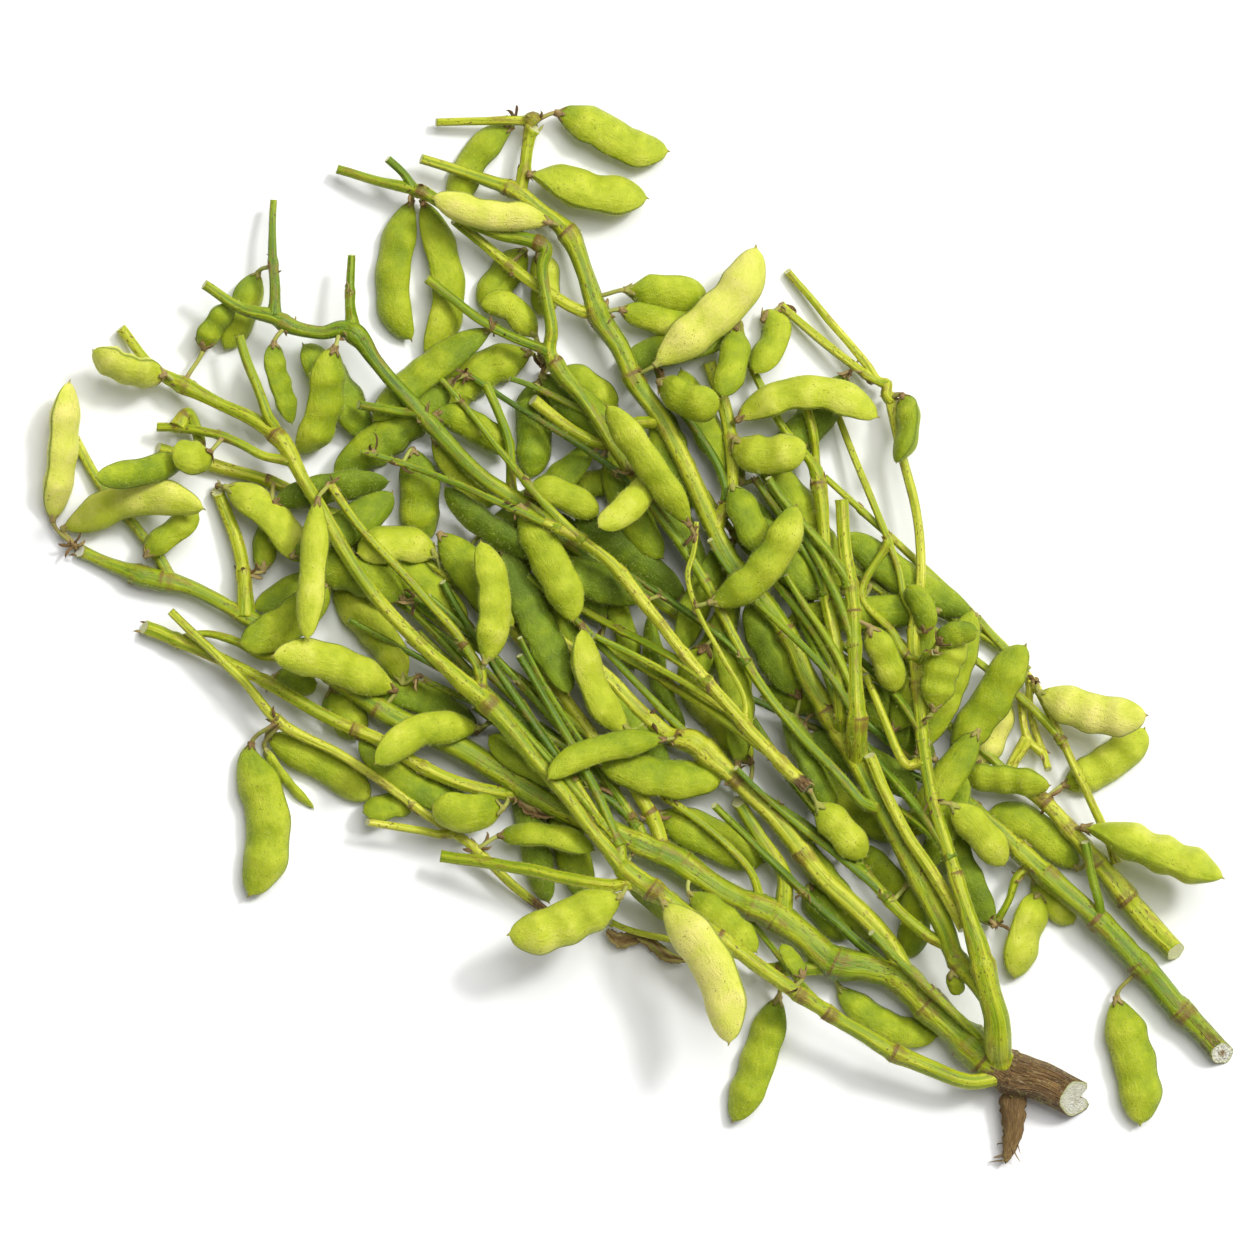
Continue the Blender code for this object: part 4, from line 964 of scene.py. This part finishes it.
def add_curl(piece, root, out, ahead, dice, length, width, tone):
    """A thin dry bract, pressed along the stem and curling at its tip."""
    way = np.linspace(0, 1, 8)
    bend = dice.uniform(-0.10, 0.45)
    line = (root + ahead * (length * np.sin(way * 1.4))[:, None]
            + out * (length * bend * way**2 * 0.5)[:, None]
            + np.cross(out, ahead) * (length * dice.uniform(-0.4, 0.4) * way**2)[:, None])
    radii = width * np.array([0, 0.9, 1.0, 0.85, 0.62, 0.42, 0.22, 0.0])
    piece.roll_tube(6, line, radii, skin_start(dice), tone, flatness=0.28)


def add_collar(piece, stem, place, dice):
    """The dried bracts round the scar of a fallen leaf."""
    index = int(np.searchsorted(stem.runs, place).clip(2, len(stem.runs) - 3))
    ahead = unit(stem.line[index + 1] - stem.line[index - 1])
    first = unit(np.cross(ahead, dice.normal(0, 1, 3)))
    second = np.cross(ahead, first)
    for _ in range(int(dice.integers(3, 7))):
        angle = dice.uniform(0, 6.28)
        out = first * math.cos(angle) + second * math.sin(angle)
        root = stem.line[index] + out * stem.half[index] * 0.98 + ahead * dice.uniform(-1.2, 1.8) * MM
        lying = unit(ahead * dice.choice([1, 1, -1]) + np.cross(ahead, out) * dice.uniform(-0.8, 0.8))
        add_curl(piece, root, out, lying, dice, dice.uniform(1.4, 3.2) * MM,
                 dice.uniform(0.28, 0.55) * MM, dice.uniform(0.15, 0.75))


def add_tuft(piece, hub, dice):
    """The curled brown remains of flowers and small leaves at a joint where pods hang."""
    way = np.linspace(0, 1, 9)
    for _ in range(int(dice.integers(3, 6))):
        out = unit(dice.normal(0, 1, 3) * (1, 1, 0.5) + (0, 0, 0.6))
        turn = unit(np.cross(out, dice.normal(0, 1, 3)))
        length = dice.uniform(2.2, 5.0) * MM
        line = (hub + out * (length * np.sin(way * 2.0))[:, None]
                + turn * (length * 0.5 * (1 - np.cos(way * 2.6)))[:, None])
        line[:, 2] = np.clip(line[:, 2], 0.0006, cad_high[2] - 0.0006)
        radii = dice.uniform(0.35, 0.75) * MM * np.array([0, 0.7, 1.0, 0.9, 1.05, 0.8, 0.6, 0.3, 0.0])
        piece.roll_tube(7, line, radii, skin_start(dice), flatness=dice.uniform(0.2, 0.5),
                        tone=dice.uniform(0.05, 0.50))


def add_scrap(piece, start, end, half, dice):
    """A crumpled scrap of dried leaf, lying between two points."""
    way = np.linspace(0, 1, 26)
    aside = unit(np.cross(end - start, UP))
    weave = half * 0.45 * np.sin(6.5 * way + dice.uniform(0, 6))
    line = start + (end - start) * way[:, None] + aside * weave[:, None]
    width = half * np.sin(math.pi * way**0.8) ** 0.6 * dice.uniform(0.7, 1.15, 26)
    width[[0, -1]] = 0
    turns, offset, tone = dice.uniform(0, 6, 3), skin_start(dice), dice.uniform(0.34, 0.55)

    def shape(angle, row):
        cos, sin = np.cos(angle), np.sin(angle)
        fold = (np.sin(4.2 * cos + 9 * way[row] + turns[0]) * 0.8
                + np.sin(9 * cos - 17 * way[row] + turns[1]) * 0.45) * MM
        place = line[row] + aside * (width[row] * cos)[:, None]
        place[:, 2] += width[row] / half * (fold + 0.16 * MM * sin)
        skin = np.column_stack([width[row] * cos / MM, sin, way[row] * 20 + offset])
        return place, skin, {"tone": tone + 0.16 * np.sin(5 * cos + turns[2])}

    piece.roll(28, 25, shape)


# ---------------------------------------------------------------- the shade of the heap

# Middles and half spans of the places where the heap is thick, in millimetres on the floor.
THICK = [(-70, 58, 34, 30), (-30, 25, 44, 30), (-92, 22, 26, 24), (-20, 62, 34, 26), (6, -8, 46, 34),
         (-60, -6, 40, 26), (36, 42, 26, 32), (44, -38, 44, 34), (68, 10, 24, 30), (-10, -58, 44, 18),
         (84, -48, 34, 28), (104, -18, 22, 20), (66, -84, 30, 20), (20, 88, 20, 16), (-52, -48, 30, 16),
         (30, -80, 30, 14), (118, -60, 18, 20), (-96, 56, 16, 14)]
UPHILL = unit((-0.78, 0.62, 0.0))   # the way that the stems run, from butt to tips
PRESS = 0.82                        # how much of its half width a pod keeps when others press on it


def crowd_of(stems, pods):
    """Points inside everything that is there already, with their half widths."""
    places = [stem.line[::4] for stem in stems]
    halves = [stem.half[::4] for stem in stems]
    for pod in pods:
        share = np.linspace(0.06, 0.96, 12)
        places.append(flow(pod.runs, pod.points, share * pod.length))
        halves.append(pod.half_at(share) * PRESS)
    return np.vstack(places), np.concatenate(halves)


def joined_by(crowd, places, halves):
    """The crowd with one more line in it."""
    return np.vstack([crowd[0], places]), np.concatenate([crowd[1], halves])


def clearance(line, halves, crowd):
    """The least gap between a new line and the crowd; height counts for more, because pods are flat."""
    middle = (line.min(axis=0) + line.max(axis=0)) / 2
    reach = np.abs(line - middle).max(axis=0) + 15 * MM
    near = (np.abs(crowd[0] - middle) < reach).all(axis=1)
    if not near.any():
        return 1.0
    apart = (line[:, None] - crowd[0][near][None]) * (1, 1, 1.35)
    away = np.sqrt(np.einsum("ijk,ijk->ij", apart, apart))
    return float((away - halves[:, None] - crowd[1][near][None]).min())


def low_shoot(stems):
    """The thin shoot over the first scraps, from the stem nearest to its start."""
    leave, tip = (np.array(place) * MM for place in LOW_SHOOT)
    host = min(stems, key=lambda stem: stem.nearest(leave)[0])
    index = host.nearest(leave)[1]
    heading = unit(tip - leave)
    line = bent(host.line[index], unit(heading + (0, 0.25, 0)), tip, heading, 12)
    shoot = Stem(host.node, line, np.linspace(1.35, 1.1, 12) * MM)
    shoot.joined = True
    host.joints.append(host.runs[index])
    return shoot.settle()


def fill_with_stems(stems, pods, dice, wanted):
    """Leaf stalks in the shade, each from a joint of a thick stem and running uphill with the others."""
    made = []
    crowd = crowd_of(stems, pods)
    thick = [stem for stem in stems if stem.half.max() > 1.7 * MM and stem.runs[-1] > 50 * MM]
    for _ in range(5000):
        if len(made) == wanted:
            break
        host = thick[int(dice.integers(len(thick)))]
        index = int(dice.integers(6, len(host.line) - 6))
        start = host.line[index]
        course = unit(host.line[index + 3] - host.line[index - 3])
        course = course if course @ UPHILL > 0 else -course
        spread = math.radians(dice.uniform(-30, 30))
        level = unit(course * (1, 1, 0))
        heading = level * math.cos(spread) + np.cross(UP, level) * math.sin(spread)
        heading = unit(heading + 1.2 * UPHILL)
        end = start + heading * (dice.uniform(38, 95) * MM)
        end[2] = dice.uniform(4, 19) * MM
        inside = any(abs(end[0] / MM - x) < wide and abs(end[1] / MM - y) < tall
                     for x, y, wide, tall in THICK)
        if not inside or end @ UPHILL < start @ UPHILL:
            continue
        arriving = unit(heading + dice.normal(0, 0.12, 3) * (1, 1, 0.5))
        line = bent(start, unit(course + heading), end, arriving, 14)
        half = np.linspace(dice.uniform(1.3, 1.7), dice.uniform(0.95, 1.3), 14) * MM
        if line[:, 2].min() < 2 * MM or clearance(line[3:], half[3:], crowd) < 0.15 * MM:
            continue
        stem = Stem(host.node, line, half)
        stem.joined = True
        stem.settle()
        stem.joints = [0.0] if dice.random() < 0.6 else [0.0, stem.runs[-1] * dice.uniform(0.5, 0.85)]
        host.joints.append(host.runs[index])
        made.append(stem)
        crowd = joined_by(crowd, stem.line[::4], stem.half[::4])
    return made


def fill_with_pods(stems, pods, dice, wanted):
    """Pods in the shade, wherever one fits between the others with its stalk in reach of a stem."""
    made = []
    crowd = crowd_of(stems, pods)
    sprays = sorted({pod.node for pod in pods if pod.node.startswith("pods_")})
    centres = np.array([np.mean([pod.points.mean(axis=0) for pod in pods if pod.node == node], axis=0)
                        for node in sprays])
    axis_points = np.vstack([stem.line[::3] for stem in stems])
    for _ in range(22000):
        if len(made) == wanted:
            break
        x, y, wide, tall = THICK[int(dice.integers(len(THICK)))]
        middle = (x + dice.uniform(-wide, wide), y + dice.uniform(-tall, tall), dice.uniform(4.2, 13.5))
        middle = np.array(middle) * MM
        turn = math.radians(dice.normal(0, 55) + (180 if dice.random() < 0.3 else 0))
        heading = UPHILL * math.cos(turn) + np.cross(UP, UPHILL) * math.sin(turn)
        heading = unit(heading + (0, 0, dice.uniform(-0.12, 0.12)))
        seeds = int(dice.choice([2, 3, 3, 2]))
        length = (22 + 11.5 * seeds - 3) * dice.uniform(0.88, 1.08) * MM
        bow = np.cross(UP, heading) * dice.uniform(-4.0, 4.0) * MM
        way = np.linspace(0, 1, 12)
        line = (middle + heading * (length * (way - 0.5))[:, None]
                + bow * (4 * (way - 0.5) ** 2 - 0.4)[:, None])
        pod = Pod(sprays[0])
        pod.full, pod.ratio = dice.uniform(5.4, 6.6) * MM, dice.uniform(0.56, 0.68)
        pod.on_edge, pod.whole = False, True
        halves = pod.half_at(way)
        if line[:, 2].min() < 3.6 * MM or np.linalg.norm(axis_points - line[0], axis=1).min() > 13 * MM:
            continue
        if clearance(line[1:-1], halves[1:-1] * 0.78, crowd) < -0.9 * MM:
            continue
        reach = np.array([0.0, *[0.30 + 0.46 * (seed + 0.5) / seeds for seed in range(seeds)], 1.0])
        swollen = np.array([0, *[pod.full] * seeds, 0])
        fine = np.unique(np.concatenate([way, reach]))
        points = np.column_stack([np.interp(fine, way, line[:, axis]) for axis in range(3)])
        swollen = np.interp(fine, reach, swollen) * np.isin(fine, reach)
        pod.plan(points, swollen, unit(UP + dice.normal(0, 0.2, 3)))
        pod.node = sprays[int(np.linalg.norm(centres - middle, axis=1).argmin())]
        pod.hub = line[0] - heading * dice.uniform(2, 4) * MM
        made.append(pod)
        crowd = joined_by(crowd, line[1:-1], halves[1:-1] * PRESS)
    return made


# ---------------------------------------------------------------- down

HAIR_LENGTH, HAIR_WIDTH = 1.45 * MM, 0.036 * MM
HAIR_GAP = 4.0
HAIRS_ON_PODS, HAIRS_ON_STEMS = 0.72, 0.55   # to a square millimetre


def corners_of(data):
    """The places of a mesh's corners, one row each."""
    points = np.empty(len(data.vertices) * 3)
    data.vertices.foreach_get("co", points)
    return points.reshape(-1, 3)


def triangles_of(skins):
    """The corners of every triangle of these pieces."""
    found = []
    for skin in skins:
        skin.data.calc_loop_triangles()
        faces = np.empty(len(skin.data.loop_triangles) * 3, int)
        skin.data.loop_triangles.foreach_get("vertices", faces)
        found.append(corners_of(skin.data)[faces.reshape(-1, 3)])
    return np.concatenate(found)


def row_of_hairs(name, count):
    """A mesh of three-sided hairs, HAIR_GAP apart along x, made by doubling the first one."""
    down = bmesh.new()
    bmesh.ops.create_cone(down, cap_ends=True, segments=3, radius1=1, radius2=0, depth=1)
    bmesh.ops.remove_doubles(down, verts=down.verts, dist=1e-6)
    bmesh.ops.translate(down, verts=down.verts, vec=(0, 0, 0.38))
    made = 1
    while made < count:
        copied = bmesh.ops.duplicate(down, geom=down.verts[:] + down.edges[:] + down.faces[:])["geom"]
        moved = [item for item in copied if isinstance(item, bmesh.types.BMVert)]
        bmesh.ops.translate(down, verts=moved, vec=(HAIR_GAP * made, 0, 0))
        made *= 2
    spare = [corner for corner in down.verts if corner.co.x > HAIR_GAP * count - 2]
    bmesh.ops.delete(down, geom=spare, context="VERTS")
    data = bpy.data.meshes.new(name)
    down.to_mesh(data)
    down.free()
    return data


def add_down(name, skins, slot, material, dice, per_square):
    """Fine pale hairs, so many for each square millimetre of the finished skins, leaning at random."""
    triangles = triangles_of(skins)
    edges = triangles[:, 1:] - triangles[:, :1]
    cross = np.cross(edges[:, 0], edges[:, 1])
    area = np.linalg.norm(cross, axis=1) / 2
    count = max(1, int(area.sum() * per_square * 1e6))
    picked = dice.choice(len(area), count, p=area / area.sum())
    first, second = dice.random((2, count))
    beyond = first + second > 1
    first, second = np.where(beyond, 1 - first, first), np.where(beyond, 1 - second, second)
    roots = triangles[picked, 0] + edges[picked, 0] * first[:, None] + edges[picked, 1] * second[:, None]
    out = unit(unit(cross[picked]) + dice.normal(0, 0.62, (count, 3)))
    side = unit(np.cross(out, dice.normal(0, 1, (count, 3))))
    over = np.cross(out, side)
    tall = HAIR_LENGTH * dice.uniform(0.55, 1.25, count)
    data = row_of_hairs(name, count)
    points = corners_of(data)
    number = np.rint(points[:, 0] / HAIR_GAP).astype(int)
    aside = points[:, 0] - HAIR_GAP * number
    placed = (roots[number] + (side[number] * aside[:, None] + over[number] * points[:, 1:2]) * HAIR_WIDTH
              + out[number] * (tall[number] * points[:, 2])[:, None])
    data.vertices.foreach_set("co", np.clip(placed, *INSIDE).ravel())
    data.update()
    data.materials.append(material)
    piece = linked(name, data)
    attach(piece, "root")


# ---------------------------------------------------------------- the bundle

def read_bundle():
    """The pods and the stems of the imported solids."""
    solids = {node: merged(node) for node in sorted(frame["nodes"])}
    taken, pods = {}, []
    for node, solid in solids.items():
        found = pods_in(solid, 4 if node.startswith("pods_") else 5)
        taken[node] = {corner for rings in found for ring in rings for corner in ring}
        pods += [Pod(node).read(rings) for rings in found]
    stems = read_stems(solids, taken)
    for solid in solids.values():
        solid.free()
    return pods, stems


def grow_spray(node, pods, shade, stems, skins, dice):
    """The pods of a node, the shaded ones with fewer faces and a darker tone of painted shade, and a piece of
    their stalks and cups.
    """
    slot = SLOT_OF[node]
    body = Piece(node + "_skins", ("tone", "swell", "seam", "along"))
    cups = Piece(node + "_stalks", ("tone",))
    loose = node.startswith("pods_")
    whole = [pod.hub for pod in pods if pod.whole]
    ripeness = RIPENESS[slot] if loose else ON_STEM_RIPENESS
    for pod in pods + shade:
        if whole and not pod.whole and loose:
            pod.hub = whole[0]
        # A pod deep in the heap gets a darker green tone than its spray's: painted shade.
        tone = dice.uniform(0.12, 0.46) if pod in shade else ripeness + dice.uniform(-0.05, 0.05)
        grow_pod(body, pod, tone, dice, pod in pods)
        add_stalk(cups, pod, stems, dice)
    skin = body.finished(skins["pod"], slot, node)
    cups.finished(skins["dry"], slot, node)
    return skin


def grow_stems_of(node, stems, shaded, skins, dice):
    """The stems of a node, and a piece of what is dry on them."""
    slot = SLOT_OF[node]
    body = Piece(node + "_stem", ("tone", "knot", "bark", "cut", "groove"))
    dry = Piece(node + "_bracts", ("tone",))
    for stem in stems:
        if stem.node != node:
            continue
        if stem.knots[:, 1].min() < ROOT_END_Y:
            grow_root(dry, stem, dice)
            continue
        # A stalk deep in the heap has its tone lowered: painted shade, darker green for the depth of the heap.
        grow_stem(body, stem, dice, STEM_TONE[slot] - (PAINTED_SHADE_TONE if stem in shaded else 0))
        for place in stem.joints:
            add_collar(dry, stem, place, dice)
    if node == "main_stalk":
        for start, end, half in SCRAPS:
            add_scrap(dry, np.array(start) * MM, np.array(end) * MM, half * MM, dice)
    skin = body.finished(skins["stem"], slot, node)
    dry.finished(skins["dry"], slot, node)
    return skin


def build_bundle():
    skins = {"pod": pod_skin(), "stem": stem_skin(), "dry": dry_skin(), "down": down_skin()}
    pods, stems = read_bundle()
    dice = np.random.default_rng(SEED)
    stems.append(low_shoot(stems))
    shaded = fill_with_stems(stems, pods, dice, SHADE_STALKS)
    stems += shaded
    shade = fill_with_pods(stems, pods, dice, SHADE_PODS)
    grown = collections.defaultdict(list)
    for node in sorted({pod.node for pod in pods}):
        mine, extra = ([pod for pod in group if pod.node == node] for group in (pods, shade))
        grown[node].append(grow_spray(node, mine, extra, stems, skins, dice))
    for node in sorted({stem.node for stem in stems}):
        grown[node].append(grow_stems_of(node, stems, shaded, skins, dice))
    for node, pieces in sorted(grown.items()):
        hairs = HAIRS_ON_PODS if node.startswith("pods_") else HAIRS_ON_STEMS
        add_down(node + "_down", pieces, SLOT_OF[node], skins["down"], dice, hairs)


# ---------------------------------------------------------------- the table, the light and the camera

def set_the_table():
    ground = bmesh.new()
    bmesh.ops.create_grid(ground, x_segments=1, y_segments=1, size=6)
    data = bpy.data.meshes.new("floor")
    ground.to_mesh(data)
    ground.free()
    data.materials.append(Finish("plain_floor", Base_Color=(0.92, 0.92, 0.915, 1), Roughness=0.9).material)
    floor = linked("floor", data)
    floor.location.z = -0.0002


def add_sun(name, towards, energy, spread):
    """A broad sun, shining from this way; its spread is in degrees."""
    lamp = bpy.data.lights.new(name, "SUN")
    lamp.energy, lamp.angle = energy, math.radians(spread)
    linked(name, lamp).rotation_euler = Vector(towards).to_track_quat("Z", "Y").to_euler()


def light_and_camera():
    scene = bpy.context.scene
    world = bpy.data.worlds.new("soft_room")
    world.use_nodes = True
    sky = world.node_tree.nodes["Background"].inputs
    sky["Color"].default_value = (1.0, 1.0, 1.0, 1)
    sky["Strength"].default_value = 0.25
    scene.world = world
    add_sun("window", (0.38, 0.62, 1.25), 2.45, 44)
    add_sun("lamp", (0.70, 0.55, 1.0), 1.6, 10)
    lens = bpy.data.cameras.new("camera")
    lens.sensor_width = SENSOR
    lens.lens = SENSOR * CAMERA_HEIGHT / VIEW_WIDTH
    lens.clip_end = 50
    camera = linked("camera", lens)
    camera.location = (*CAMERA_AIM, CAMERA_HEIGHT)
    scene.camera = camera
    scene.view_settings.view_transform = "Standard"


build_bundle()
set_the_table()
light_and_camera()
